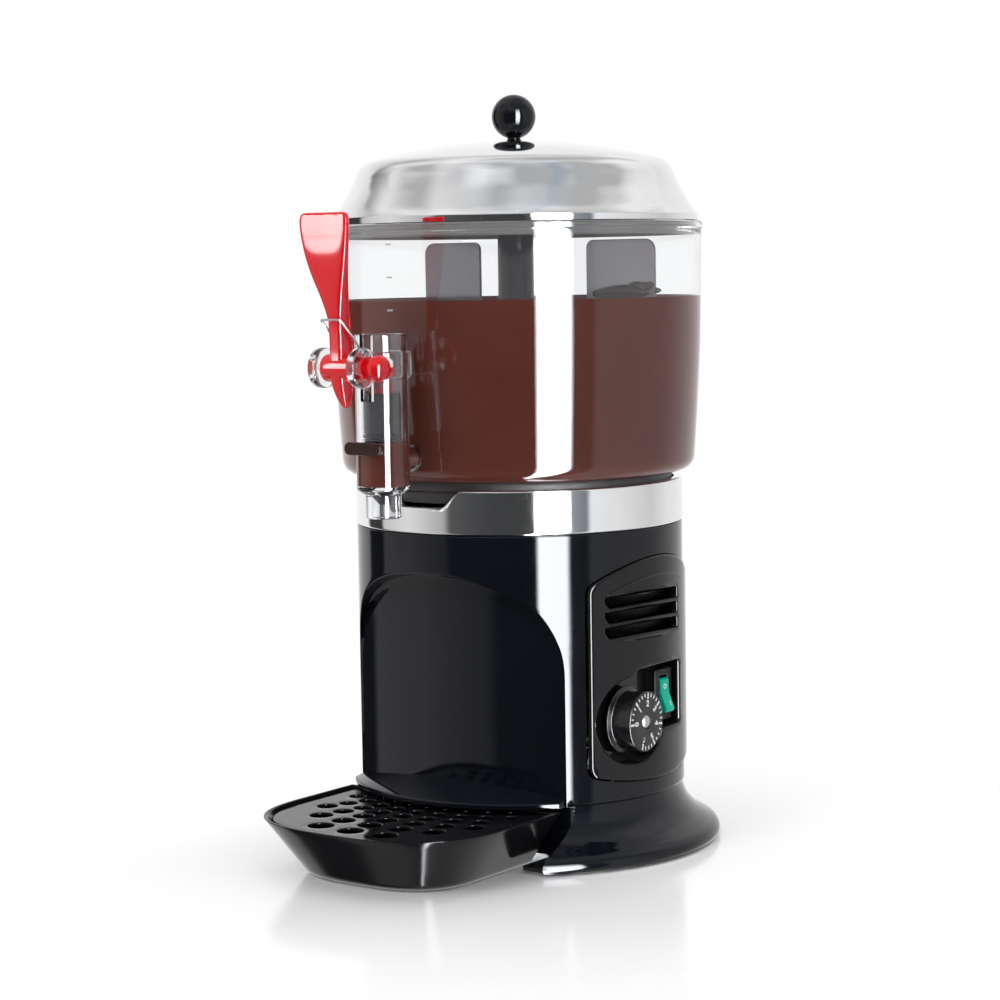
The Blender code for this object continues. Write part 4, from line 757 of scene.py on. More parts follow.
# %% Ledge
LEDGE_BACK_R, LEDGE_RISE, LEDGE_LOW = CASING_R - 0.030, 0.0117, CASING_LOW + 0.0002
lip = rounded([
    (LEDGE_BACK_R, LEDGE_Z + LEDGE_RISE, 0), (LEDGE_R, LEDGE_Z, 0.0012), (LEDGE_R, LEDGE_LOW, 0.0008),
    (LEDGE_BACK_R, LEDGE_LOW, 0)], 5)
lip = np.vstack([lip, lip[:1]])
half_turn = np.arcsin((NICHE_HALF_W - 0.0002) / lip[:, 0].clip(min=NICHE_HALF_W + 0.0003))
u = np.linspace(-1, 1, 61)
a = half_turn[:, None] * u[None]
r, z = lip[:, 0, None] + 0 * a, lip[:, 1, None] + 0 * a
ledge_points = np.stack([AXIS[0] + r * np.sin(a), AXIS[1] - r * np.cos(a), z], -1)
ends = []
for k in (0, -1):
    rim = ledge_points[:-1, k]
    mid = rim.mean(0)[None]
    ends.append((np.vstack([rim, mid]), np.column_stack([
        np.arange(len(rim)), (np.arange(len(rim)) + 1) % len(rim), np.full(len(rim), len(rim))])))
piece("cup_ledge", [grid_patch(ledge_points), *ends], GLOSS_BLACK, "base")

# %% [markdown]
# The foot is a bell that flares out to steady the machine, open in front where the tray slides
# in. Its profile is carried round the axis, and each row stops where it meets the tray's side.

# %% Foot skirt
SKIRT_TOP_R, SKIRT_R = CASING_R - 0.0015, (high("foot_skirt") - low("foot_skirt"))[0] / 2
SKIRT_LOW, SKIRT_HIGH = low("foot_skirt")[2], high("foot_skirt")[2]
OPENING_HALF_W = 0.0829
flare = flowing([
    (SKIRT_TOP_R, SKIRT_HIGH), (0.1042, 0.0325), (0.1075, 0.0245), (0.1135, 0.0175), (0.1200, 0.0130),
    (0.1248, 0.0100), (0.1272, 0.0072), (SKIRT_R, 0.0040), (0.1268, SKIRT_LOW)], 6)
inner = flowing([
    (0.1240, SKIRT_LOW), (0.1245, 0.0042), (0.1240, 0.0060), (0.1218, 0.0082), (0.1165, 0.0118),
    (0.1105, 0.0160), (0.1050, 0.0235), (0.1018, 0.0320), (0.1010, SKIRT_HIGH)], 6)
section = np.vstack([flare, inner])
cut_angle = np.arcsin(np.clip(OPENING_HALF_W / section[:, 0], 0, 1))[:, None]
u = np.linspace(0, 1, 181)[None]
a = cut_angle + (2 * math.pi - 2 * cut_angle) * u
r, z = section[:, 0, None] + 0 * a, section[:, 1, None] + 0 * a
bell = np.stack([AXIS[0] + r * np.sin(a), AXIS[1] - r * np.cos(a), z], -1)
bell = np.concatenate([bell, bell[:1]])
half = len(flare)
ends = [grid_patch(np.stack([bell[:half, k], bell[half:-1, k][::-1]])) for k in (0, -1)]
piece("foot_bell", [grid_patch(bell), *ends], GLOSS_BLACK, "base", ["foot_skirt"])
APRON_F = AXIS[1] - low("base_plate")[1] + 0.0003
APRON_HALF_W, APRON_T, APRON_TOP, APRON_FOOT = OPENING_HALF_W + 0.0005, 0.0024, SKIRT_HIGH - 0.0005, 0.0060
apron_outline = rounded([
    (APRON_HALF_W, APRON_TOP, 0.001), (-APRON_HALF_W, APRON_TOP, 0.001),
    (-APRON_HALF_W, APRON_FOOT, 0.001), (APRON_HALF_W, APRON_FOOT, 0.001)], 3)


def on_apron(x, z, depth):
    """The apron is the flat plate behind the tray, its depth going back from its face."""
    return np.stack([AXIS[0] + x, AXIS[1] - APRON_F - APRON_T + depth, z], -1)


piece("apron", [
    filled(apron_outline, [], 0.006, on_apron, 0.0), edged(apron_outline, [(0, 0), (0, APRON_T)], on_apron),
    filled(apron_outline, [], 0.006, on_apron, APRON_T)], GLOSS_BLACK, "base")

# %% [markdown]
# ## Heated top
#
# The polished collar hides the water bath. Where the tap passes over it, its edge dips in a wide
# shallow notch, made here by lowering the top of the profile with a smooth function of angle.

# %% Steel collar
RING_LOW, RING_TOP = low("chrome_ring")[2], high("chrome_ring")[2]
section = rounded([
    (RING_R - 0.0055, RING_TOP, 0.0003), (RING_R, RING_TOP, 0.0016), (RING_R, RING_LOW, 0.0012),
    (RING_R - 0.0022, RING_LOW, 0.0003), (RING_R - 0.0022, RING_TOP - 0.0013, 0.0004),
    (RING_R - 0.0055, RING_TOP - 0.0013, 0.0003)], 6)
fine = []
for p0, p1 in zip(section, np.roll(section, -1, 0)):
    many = max(1, int(np.linalg.norm(p1 - p0) / 0.002))
    fine += [p0 + (p1 - p0) * k / many for k in range(many)]
section = np.array(fine)
NOTCH_TURN, NOTCH_HALF_W, NOTCH_SLOPE_W, NOTCH_Z = 0.34, 0.029, 0.015, 0.2225
a = np.concatenate([      # closer steps across the notch
    np.linspace(-NOTCH_TURN, NOTCH_TURN, 121)[:-1],
    np.linspace(NOTCH_TURN, 2 * math.pi - NOTCH_TURN, 221)[:-1]])
r, z = section.T[:, :, None]
x = r * np.sin(a)[None]
dip = np.clip((NOTCH_HALF_W - np.abs(x)) / NOTCH_SLOPE_W, 0, 1)
dip = dip * dip * (3 - 2 * dip) * np.where(np.cos(a) > 0, 1, 0)[None]
share = np.clip((z - RING_TOP + 0.016) / 0.0135, 0, 1)
z = z - share * dip * (RING_TOP - NOTCH_Z)
collar = np.stack([AXIS[0] + x, AXIS[1] - r * np.cos(a)[None], z + 0 * x], -1)
piece("steel_collar", [grid_patch(np.concatenate([collar, collar[:1]]), wrap=True)], POLISHED, "base",
      ["chrome_ring"])

# %% [markdown]
# ## Bowl and drink
#
# The bowl is one clear moulding about 3 mm thick, with a hollow column up its middle for the
# shaft. It is a closed profile carried round the axis, so light bends at both faces of the wall.
# The drink reaches a hair into the inner face, as a real drink wets it. A film of air between the
# two would reflect the sky and lay a grey veil over the drink.

# %% Bowl
BOWL_LOW, BOWL_TOP = low("bowl")[2], high("bowl")[2]
RIM_R = (high("bowl") - low("bowl"))[0] / 2
WALL = 0.0028
foot_r, foot_round, inner_round = 0.104, 0.0095, 0.0075
FLANK = [(0.1144, 0.260), (0.1160, 0.285), (0.1178, 0.322), (0.1185, 0.362)]      # outer radius, height
t = np.linspace(0, math.pi / 2, 9)
outer_foot = [(foot_r + foot_round * math.cos(a), BOWL_LOW + foot_round * (1 - math.sin(a))) for a in t]
inner_foot = [(foot_r - 0.001 + inner_round * math.cos(a), BOWL_LOW + WALL + inner_round * (1 - math.sin(a)))
              for a in t[::-1]]
LIP_R = RIM_R - 0.0006
outside = flowing([(LIP_R, BOWL_TOP - 0.0055), *FLANK[::-1], outer_foot[0]], 8)[:-1]
inner_flank = [(r - WALL, z) for r, z in FLANK]
inside_wall = flowing([inner_foot[-1], *inner_flank, (LIP_R - WALL, BOWL_TOP - 0.0008)], 8)[1:]
bead = rounded([
    (LIP_R - WALL, BOWL_TOP, 0.0008), (RIM_R, BOWL_TOP, 0.0009), (RIM_R, BOWL_TOP - 0.004, 0.0009),
    (LIP_R, BOWL_TOP - 0.0050, 0.0)], 5, closed=False)[1:-1]
bore, column = 0.0051, 0.0085
section = [
    *bead, *outside, *outer_foot, (bore, BOWL_LOW), (bore, 0.3712), (column - 0.001, 0.372), (column, 0.3705),
    (column + 0.0005, BOWL_LOW + WALL + 0.003), (column + 0.003, BOWL_LOW + WALL), *inner_foot, *inside_wall]
section = np.array(section + section[:1])
piece("bowl_wall", [turned(section, steps=240)], CLEAR, "bowl", ["bowl"])

DRINK_LEVEL = BOWL_TOP - 0.0470
WETTING = 0.0003      # how far the drink reaches into the wall


def bowl_radius(z):
    """Inner radius of the bowl at a height, from the wall's own profile."""
    line = np.array([*inner_foot, *inside_wall])
    return np.interp(z, line[:, 1], line[:, 0])


heights = np.linspace(BOWL_LOW + WALL + 0.010, DRINK_LEVEL, 40)
side = np.column_stack([bowl_radius(heights) + WETTING, heights])
foot = np.array(inner_foot) + (WETTING, -WETTING)
brim_r = side[-1, 0]
MENISCUS = 0.0016      # how far the drink climbs the wall
edge = 1 - np.linspace(0, 1, 12)
meniscus = np.column_stack([brim_r - 0.006 * (1 - edge), DRINK_LEVEL - MENISCUS * (1 - edge**2.5)])
surface = [(r, DRINK_LEVEL - MENISCUS) for r in np.linspace(brim_r - 0.009, 0.0135, 24)]
column_foot = (0.0123, BOWL_LOW + WALL - WETTING)
column_side = [(0.0123, DRINK_LEVEL - 0.0008), column_foot]
section = np.vstack([[column_foot], foot, side, meniscus[1:], surface, column_side])
piece("drink", [turned(section, steps=240)], DRINK, "bowl")

# %% [markdown]
# Slabs, rods and lofts cover the smaller pieces. A slab is an outline with holes given thickness
# and rounded edges. A loft carries a changing section along a line. A pouring tap has several
# solids run into one, so a helper joins and cuts finished meshes with Booleans and keeps the
# result as plain mesh.

# %% Slabs, tubes and lofts


def rounding(edge, thickness, steps=4):
    """Profile of a slab's rim: a quarter round, a straight side and a quarter round."""
    a = np.linspace(0, math.pi / 2, steps + 1)
    first = np.column_stack([-edge * (1 - np.sin(a)), edge * (1 - np.cos(a))])
    return np.vstack([first, np.column_stack([first[:, 0], thickness - first[:, 1]])[::-1]])


def slab(outline, holes, thickness, edge, lay, step):
    """Both faces of the outline, its rim, and the rim of each hole."""
    outline, holes = np.asarray(outline, float), [np.asarray(h, float) for h in holes]
    rim = rounding(edge, thickness)
    face = grown(outline, -edge), [grown(h, edge) for h in holes]
    patches = [filled(*face, step, lay, 0.0), filled(*face, step, lay, thickness), edged(outline, rim, lay)]
    return patches + [edged(h, rim * (-1, 1), lay) for h in holes]


def circle(centre, radius, steps=28):
    """Points round a centre, anticlockwise."""
    t = np.linspace(0, 2 * math.pi, steps, endpoint=False)
    return np.column_stack([centre[0] + radius * np.cos(t), centre[1] + radius * np.sin(t)])


def box_outline(y0, y1, z0, z1, radius, steps=5):
    """A rectangle with rounded corners."""
    return rounded([(y0, z0, radius), (y1, z0, radius), (y1, z1, radius), (y0, z1, radius)], steps)


def lay_x(x0):
    """Outline (y, z) laid across X, its depth going towards -X from x0."""
    return lambda u, v, d: np.stack([x0 - d, u, v], -1)


def lay_y(y0):
    """Outline (x, z) laid facing the front, its depth going back from y0."""
    return lambda u, v, d: np.stack([u, y0 + d, v], -1)


def lay_z(z0):
    """Outline (x, y) laid flat, its depth going down from z0."""
    return lambda u, v, d: np.stack([u, v, z0 - d], -1)


def capped(rings):
    """Rings of a loft, closed at both ends by shrinking a copy of the end ring onto its middle."""
    first, last = rings[:1].mean(1, keepdims=True), rings[-1:].mean(1, keepdims=True)
    return grid_patch(np.concatenate([0 * rings[:1] + first, rings, 0 * rings[-1:] + last]), wrap=True)


def tube(path, radius, sides=14):
    """A round section carried along a path, square to it. One fixed vector keeps it from twisting."""
    path = np.asarray(path, float)
    ahead = np.gradient(path, axis=0)
    ahead /= np.linalg.norm(ahead, axis=1)[:, None]
    side = np.cross(ahead, np.array((0.03, 0.02, 1.0)))
    side /= np.linalg.norm(side, axis=1)[:, None]
    upward = np.cross(side, ahead)
    t = np.linspace(0, 2 * math.pi, sides, endpoint=False)[None, :, None]
    return capped(path[:, None] + radius * (np.cos(t) * side[:, None] + np.sin(t) * upward[:, None]))


def carved(made, joins, cuts):
    """Joins and cuts a piece with other closed patches, and keeps the outcome as its mesh."""
    tools = []
    for kind, solids in (("UNION", joins), ("DIFFERENCE", cuts)):
        for patches in solids:
            tool = piece("tool", patches, made.data.materials[0], made["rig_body"])
            step = made.modifiers.new(kind, "BOOLEAN")
            step.operation, step.object, step.solver = kind, tool, "MANIFOLD"
            tools.append(tool)
    bpy.context.view_layer.update()
    mesh = bpy.data.meshes.new_from_object(made.evaluated_get(bpy.context.evaluated_depsgraph_get()))
    made.modifiers.clear()
    made.data = mesh
    for tool in tools:
        bpy.data.objects.remove(tool)
    shape = bmesh.new()
    shape.from_mesh(mesh)
    bmesh.ops.remove_doubles(shape, verts=shape.verts, dist=1e-6)
    bmesh.ops.triangulate(shape, faces=[f for f in shape.faces if len(f.verts) > 4])
    open_edges = sum(1 for e in shape.edges if len(e.link_faces) != 2)
    shape.to_mesh(mesh)
    shape.free()
    mesh.shade_smooth()
    mesh.set_sharp_from_angle(angle=math.radians(34))
    print(f"{made.name} carved: {len(mesh.polygons)} faces, {open_edges} open edges")
    return made


# %% [markdown]
# A dark rubber ring seals the bowl on the heated top. It could be a plain torus, but a real one is
# an extruded strip with a groove, so that small profile is carried round the axis.

# %% Neck gasket
SEAL_R = (high("bowl_seal") - low("bowl_seal"))[0] / 2
SEAL_LOW, SEAL_TOP = low("bowl_seal")[2], high("bowl_seal")[2]
strip = [
    (SEAL_R - 0.0030, SEAL_TOP), (SEAL_R - 0.0008, SEAL_TOP), (SEAL_R, SEAL_TOP - 0.0012),
    (SEAL_R, SEAL_LOW + 0.0080), (SEAL_R - 0.0010, SEAL_LOW + 0.0070), (SEAL_R, SEAL_LOW + 0.0060),
    (SEAL_R - 0.0004, SEAL_LOW), (SEAL_R - 0.0030, SEAL_LOW)]
piece("neck_gasket", [turned(strip + strip[:1], steps=200)], RUBBER, "bowl", ["bowl_seal"])

# %% [markdown]
# ## Lid and knob
#
# The lid is spun from steel sheet: a low dome, a shoulder, a flank that flares, and a straight
# rim that sits on the bowl. A curve through a dozen points of its profile is carried round the
# axis, and again a sheet's thickness inside.

# %% Lid
LID_TOP, LID_LOW = high("lid")[2], low("lid")[2]
LID_R = (high("lid") - low("lid"))[0] / 2
LID_SHEET = 0.0011
DOME = [      # radius, and how far below the top
    (0.0026, 0.0), (0.017, 0.0004), (0.033, 0.0014), (0.048, 0.0030), (0.063, 0.0053), (0.078, 0.0083),
    (0.089, 0.0110), (0.0950, 0.0131), (0.0988, 0.0161), (0.1012, 0.0200), (0.1033, 0.0250),
    (0.1060, 0.0308), (0.1095, 0.0368), (0.1135, 0.0433), (0.1160, 0.0466)]
outer = flowing([(r, LID_TOP - d) for r, d in DOME], 7)
above_rim = len(outer)
rim = rounded([(0.1160, LID_TOP - 0.0466, 0), (LID_R, LID_TOP - 0.0480, 0.0012), (LID_R, LID_LOW, 0.0004),
               (LID_R - 0.0012, LID_LOW, 0.0004)], 5, closed=False)[1:]
outer = np.vstack([outer, rim])
ahead = np.gradient(outer, axis=0)
ahead /= np.linalg.norm(ahead, axis=1)[:, None]
inner = outer + np.column_stack([ahead[:, 1], -ahead[:, 0]]) * LID_SHEET
inner = inner[:above_rim][::-1]
section = np.vstack([outer, inner, outer[:1]])
piece("lid_dome", [turned(section, steps=256)], POLISHED, "lid", ["lid"])
seal_r = (high("lid_seal") - low("lid_seal"))[0] / 2
seal_low = low("lid_seal")[2]
lips = [(seal_r - 0.0025, BOWL_TOP - 0.0005)]
RIB_PITCH = 0.0019
for k in range(4):      # the gasket's sealing ribs
    for back, below in ((0.0006, 0.0007), (0.0, 0.0012), (0.0006, 0.0017)):
        lips.append((seal_r - back, BOWL_TOP - below - RIB_PITCH * k))
lips += [(seal_r - 0.0010, seal_low), (seal_r - 0.0025, seal_low), lips[0]]
piece("lid_gasket", [turned(lips, steps=200)], SILICONE, "lid", ["lid_seal"])
KNOB_R = (high("lid_knob") - low("lid_knob"))[0] / 2
KNOB_Z = high("lid_knob")[2] - KNOB_R
t = np.linspace(math.pi / 2, -math.radians(72), 40)
ball = list(zip(KNOB_R * np.cos(t), KNOB_Z + KNOB_R * np.sin(t)))
ball[0] = (0.0, ball[0][1])
neck = flowing([ball[-1], (0.0041, KNOB_Z - 0.0142), (0.0049, KNOB_Z - 0.0148), (0.0056, LID_TOP + 0.0002)], 4)
piece("ball_knob", [turned([*ball, *neck[1:], (0.0, LID_TOP + 0.0002)], steps=96)], GLOSS_BLACK, "lid",
      ["lid_knob"])

# %% [markdown]
# ## Stirrer
#
# A translucent grey moulding: a tall hub over the bowl's column, and two upright wings on a low
# bar. Only the tops stand out of the drink, and the drink clings to the wing it last lifted.

# %% Stirrer
HUB_R, HUB_LOW, HUB_TOP = 0.0115, low("stirrer")[2], high("stirrer")[2]
HUB_BORE, BORE_TOP = 0.0098, 0.3735
hub = rounded([
    (0.0, HUB_TOP, 0), (HUB_R, HUB_TOP, 0.0022), (HUB_R + 0.0004, HUB_LOW, 0.0008),
    (HUB_BORE, HUB_LOW, 0.0004), (HUB_BORE, BORE_TOP, 0.0006), (0.0, BORE_TOP, 0)], 6, closed=False)
WING_TOP = HUB_TOP - 0.0075
wings = []
for side, (near, far) in ((1, (0.055, 0.105)), (-1, (0.028, 0.073))):
    line = rounded([
        (near, HUB_LOW + 0.002, 0.002), (far, HUB_LOW + 0.002, 0.004), (far, WING_TOP, 0.007),
        (near, WING_TOP, 0.005)], 6)
    line = line if side > 0 else (line * (-1, 1))[::-1]
    wings += slab(line, [], 0.0028, 0.0009, lay_y(AXIS[1] - 0.0014), 0.006)
    bar = box_outline(*sorted((side * 0.0105, side * far)), HUB_LOW, HUB_LOW + 0.008, 0.0015)
    wings += slab(bar, [], 0.006, 0.001, lay_y(AXIS[1] - 0.003), 0.006)
piece("stirrer_wings", wings, SMOKE, "stirrer", ["stirrer"])
piece("stirrer_hub", [turned(hub, steps=72)], SMOKE_DARK, "stirrer")


def clinging(name, centre, size, seed, body):
    """A blob: a sphere whose radius is swelled by sums of sines of its own directions."""
    u = np.linspace(0, math.pi, 40)[:, None]
    v = np.linspace(0, 2 * math.pi, 72, endpoint=False)[None]
    swell = (1 + 0.16 * np.sin(3 * v + seed) * np.sin(2 * u) + 0.10 * np.sin(5 * v + 2 * seed) * np.sin(u) ** 2
             + 0.07 * np.cos(4 * u + seed))
    x, y, z = swell * np.sin(u) * np.cos(v), swell * np.sin(u) * np.sin(v), swell * np.cos(u) + 0 * v
    return piece(name, [grid_patch(np.stack([x, y, z], -1) * size + centre, wrap=True)], RESIDUE, body)


wing_at = AXIS + (0.080, 0, DRINK_LEVEL)
for name, offset, size, seed in (
        ("drink_on_wing_1", (0.0035, 0, 0.0030), (0.0215, 0.0034, 0.0046), 0.6),
        ("drink_on_wing_2", (0.015, 0, 0.0062), (0.0095, 0.0030, 0.0036), 2.1),
        ("drink_on_wing_3", (-0.013, 0, 0.0020), (0.0080, 0.0026, 0.0028), 4.0)):
    clinging(name, wing_at + offset, size, seed, "stirrer")

# %% [markdown]
# Marks for the level are moulded on the bowl as small raised bars, given here without any figures.

# %% Level marks
marks = []
for degrees, heights in ((-36.5, (0.377, 0.364)), (-5.0, (0.3835, 0.3635, 0.3435))):
    for z in heights:
        a = math.radians(degrees)
        r = np.interp(z, np.array(outside)[::-1, 1], np.array(outside)[::-1, 0]) + 0.0003
        bar = box_outline(-0.0022, 0.0022, z - 0.0005, z + 0.0005, 0.0003)
        spin = np.array(((math.cos(a), -math.sin(a), 0), (math.sin(a), math.cos(a), 0), (0, 0, 1)))
        for points, faces in slab(bar, [], 0.0005, 0.0001, lay_y(-r), 0.002):
            marks.append((points @ spin.T + AXIS, faces))
piece("level_marks", marks, SCALE_INK, "bowl")

# %% [markdown]
# ## Tap
#
# The tap is a clear cylinder on a short neck, with a spout below and two ears that carry the
# lever. Joining the solids first matters for clear plastic: a wall left inside it would show.

# %% Tap
TAP = np.array((0, AXIS[1] - 0.1405, 0))
TAP_LOW, TAP_TOP = low("tap_body")[2], high("tap_body")[2]
SEAT = 0.2375
PIVOT = np.array((0, AXIS[1] - 0.177, 0.311))
NECK_Z = 0.2535
SPOUT_R, TAP_R, TAP_BORE_R, SEAT_R = 0.0108, 0.0160, 0.0125, 0.0075
barrel = rounded([
    (0.0, TAP_TOP, 0), (TAP_R, TAP_TOP, 0.0008), (TAP_R, SEAT - 0.001, 0.0018),
    (SPOUT_R, SEAT - 0.0045, 0.0012), (SPOUT_R, TAP_LOW, 0.0012), (0.0, TAP_LOW, 0)], 5, closed=False)
tap = piece("tap_cylinder", [turned(barrel, TAP, 72)], TAP_CLEAR, "bowl", ["tap_body"])


def rod(radius, start, end, at, along, steps):
    """A plain cylinder between two places on an axis."""
    return turned_on([(0, start), (radius, start), (radius, end), (0, end)], at, along, steps)


collar = rounded([
    (0.0, 0.3195, 0), (0.0182, 0.3195, 0.0009), (0.0182, 0.3045, 0.0009), (0.0150, 0.3028, 0),
    (0.0, 0.3028, 0)], 4, closed=False)
joins = [[turned(collar, TAP, 72)], [rod(0.0085, 0, 0.0235, TAP + (0, 0.0035, NECK_Z), (0, 1, 0), 48)]]
EAR_R, EAR_HALF_T = 0.0120, 0.00275
ear = rounded([
    (0.0, EAR_HALF_T, 0), (EAR_R, EAR_HALF_T, 0.0008), (EAR_R, -EAR_HALF_T, 0.0008), (0.0, -EAR_HALF_T, 0)],
    4, closed=False)
arm = box_outline(PIVOT[1], TAP[1] - 0.004, 0.305, 0.317, 0.001, 3)
for x in (-0.0145, 0.0145):
    joins.append(slab(arm, [], 0.004, 0.0004, lay_x(x + 0.002), 0.006))
    joins.append([turned_on(ear, PIVOT + (x, 0, 0), (1, 0, 0), 64)])
bore_line = [
    (0, TAP_TOP + 0.01), (TAP_BORE_R, TAP_TOP + 0.01), (TAP_BORE_R, SEAT + 0.0010),
    (SEAT_R, SEAT - 0.002), (SEAT_R, TAP_LOW - 0.01), (0, TAP_LOW - 0.01)]
finger_slot = box_outline(-0.0038, 0.0038, 0.290, 0.332, 0.0)
cuts = [
    [turned(bore_line, TAP, 72)],
    [rod(0.0055, 0, 0.04, TAP + (0, 0.006, NECK_Z), (0, 1, 0), 40)],
    [rod(0.0044, -0.03, 0.03, PIVOT, (1, 0, 0), 40)],
    slab(finger_slot, [], 0.014, 0.0, lay_y(TAP[1] - 0.0215), 0.004)]
carved(tap, joins, cuts)
# The stop bar's brown is a painted reflection of the drink in a clear bracket, laid on an opaque bar.
bar_low, bar_high = low("stop_bar"), high("stop_bar")
stop = box_outline(bar_low[0], bar_high[0], bar_low[2], bar_high[2], 0.0036, 8)
bar = slab(stop, [], bar_high[1] - bar_low[1], 0.0012, lay_y(bar_low[1]), 0.003)
piece("stop_bar_soft", bar, BROWN_PAINTED_REFLECTION, "bowl", ["stop_bar"])

# %% [markdown]
# Inside the cylinder a red stem lifts a dark barrel with a ring, and the drink fills the space
# below it. The drink in the tap rides with the bowl. It wets the cylinder's wall, and is a ring, so
# that the plug has room to rise through it.

# %% Piston
P_LOW = low("tap_piston")[2]
stem = rounded([
    (0.0, 0.3100, 0), (0.0060, 0.3100, 0.0008), (0.0060, 0.2944, 0.0), (0.0, 0.2944, 0)], 4, closed=False)
head = piece("piston_stem", [turned(stem, TAP, 48)], RED, "piston")
finger_hole = box_outline(-0.0045, 0.0045, 0.2975, 0.3075, 0.0)
carved(head, [], [slab(finger_hole, [], 0.030, 0.0, lay_y(TAP[1] - 0.023), 0.005)])
BARREL_R, PLUG_R = 0.0114, 0.0069
barrel = rounded([
    (0.0, 0.2942, 0), (BARREL_R, 0.2942, 0.0008), (BARREL_R, 0.2708, 0.0003), (0.0096, 0.2706, 0),
    (0.0096, 0.2674, 0), (BARREL_R, 0.2672, 0.0003), (BARREL_R, 0.2660, 0.0005), (0.0040, 0.2640, 0),
    (0.0040, 0.2425, 0), (PLUG_R, 0.2410, 0.0004), (PLUG_R, 0.2320, 0.0004), (0.0030, 0.2278, 0.0004),
    (0.0, P_LOW, 0)], 3, closed=False)
piece("piston_barrel", [turned(barrel, TAP, 64)], DARK_SEAL, "piston", ["tap_piston"])
ring_z, ring_section_r = middle("piston_ring")[2], 0.00125
t = np.linspace(0, 2 * math.pi, 13)
o_ring = np.column_stack([0.0106 + ring_section_r * np.cos(t), ring_z - ring_section_r * np.sin(t)])
piece("piston_o_ring", [turned(o_ring, TAP, 64)], RUBBER, "piston", ["piston_ring"])
POOL_IN, POOL_OUT = PLUG_R + 0.0007, TAP_BORE_R + WETTING
pool = rounded([
    (POOL_IN, 0.2650, 0), (POOL_OUT, 0.2652, 0.0004), (POOL_OUT, SEAT + 0.0014, 0.0006),
    (0.0080, SEAT - 0.0002, 0), (POOL_IN, SEAT + 0.0040, 0)], 3)
piece("drink_in_tap", [turned(np.vstack([pool, pool[:1]]), TAP, 64)], DRINK, "bowl")
in_neck = rod(0.0052, 0, 0.0130, TAP + (0, 0.0127, NECK_Z), (0, 1, 0), 40)
piece("drink_in_neck", [in_neck], DRINK, "bowl")

# %% [markdown]
# ## Lever
#
# The lever is one red moulding that widens from a stem into a thumb paddle and bends forward as
# it rises. Sections of a rounded rectangle are spaced along it by a smooth curve.

# %% Lever
stations = flowing([      # height over the pivot, forward of it, width, thickness
    (-0.0236, -0.0030, 0.0020, 0.0030), (-0.0222, -0.0026, 0.0040, 0.0050), (-0.0160, -0.0010, 0.0078, 0.0092),
    (-0.0060, 0.0005, 0.0105, 0.0125), (0.0100, 0.0005, 0.0105, 0.0130), (0.0240, 0.0015, 0.0105, 0.0120),
    (0.0310, 0.0028, 0.0120, 0.0110), (0.0420, 0.0060, 0.0172, 0.0095), (0.0540, 0.0098, 0.0245, 0.0080),
    (0.0660, 0.0124, 0.0305, 0.0070), (0.0780, 0.0138, 0.0345, 0.0062), (0.0855, 0.0141, 0.0358, 0.0060),
    (0.0888, 0.0140, 0.0345, 0.0056), (0.0905, 0.0139, 0.0318, 0.0046), (0.0910, 0.0138, 0.0282, 0.0030)], 8)
rise, forward, wide, thick = stations.T[:, :, None]
t = np.linspace(0, 2 * math.pi, 56, endpoint=False)[None]
# A superellipse section: cos and sin raised to a power under one square its corners.
x = np.sign(np.cos(t)) * np.abs(np.cos(t)) ** 0.42 * wide / 2
y = np.sign(np.sin(t)) * np.abs(np.sin(t)) ** 0.58 * thick / 2
across = np.clip(2 * np.abs(x) / wide, 0, 1)
dish = 0.0016 * np.clip((rise - 0.045) / 0.03, 0, 1) * (1 - across ** 2) * (y < 0)      # the thumb's hollow
rings = np.stack([PIVOT[0] + x, PIVOT[1] - forward + y + dish, PIVOT[2] + rise + 0 * x], -1)
HUB_END = 0.01115
hub = rounded([
    (0.0, HUB_END, 0), (0.0083, HUB_END, 0.0008), (0.0083, -HUB_END, 0.0008), (0.0, -HUB_END, 0)],
    4, closed=False)
finger_plan = box_outline(-0.0030, 0.0030, PIVOT[1] + 0.0045, PIVOT[1] + 0.0385, 0.0008, 3)
finger = slab(finger_plan, [], 0.0040, 0.0006, lay_z(PIVOT[2] - 0.0065), 0.004)
web_side = box_outline(PIVOT[1] + 0.003, PIVOT[1] + 0.013, PIVOT[2] - 0.0105, PIVOT[2] + 0.0015, 0.0010, 3)
web = slab(web_side, [], 0.006, 0.0006, lay_x(0.003), 0.004)
lever = piece("thumb_lever", [capped(rings), turned_on(hub, PIVOT, (1, 0, 0), 64), *finger, *web], RED,
              "lever", ["tap_lever"])
# A soft light for this moulding alone puts the long highlight on its paddle.
glow_at, glow_to = tuple(PIVOT + (-0.72, -0.95, 0.30)), tuple(PIVOT + (0, 0, 0.07))
glow = area_light("paddle_light", glow_at, glow_to, (0.55, 0.70), 17.0, True)
glow.visible_diffuse = False
only_lever = bpy.data.collections.new("lit_by_paddle_light")
only_lever.objects.link(lever)
glow.light_linking.receiver_collection = only_lever
head_x = high("lever_pin")[0]
pin_r = 0.0038
HEAD = [      # radius of the pin's head, and how far inside its tip
    (0.0, 0.0), (0.0022, 0.0002), (0.0044, 0.0009), (0.0064, 0.0026), (0.0076, 0.0052), (0.0078, 0.0068),
    (0.0074, 0.0086), (0.0064, 0.0098)]
profile = flowing([(r, head_x - d) for r, d in HEAD], 6)
shank = [
    (pin_r, head_x - 0.0106), (pin_r, 0.0200), (0.0070, 0.0196), (0.0070, 0.0180), (pin_r, 0.0179),
    (pin_r, -0.0176), (0.0026, -0.0190), (0.0, -0.0190)]
pin = turned_on([*profile, *shank], (0, PIVOT[1], PIVOT[2]), (1, 0, 0), 64)
piece("pivot_pin", [pin], RED, "lever", ["lever_pin"])
half, front = 0.0074, -0.0104
leg = [
    (half, 0.0062, 0.0075), (half, 0.0058, 0.0130), (half, front + 0.0035, 0.0256),
    (half - 0.0003, front + 0.0008, 0.0279), (half - 0.0018, front, 0.0285)]
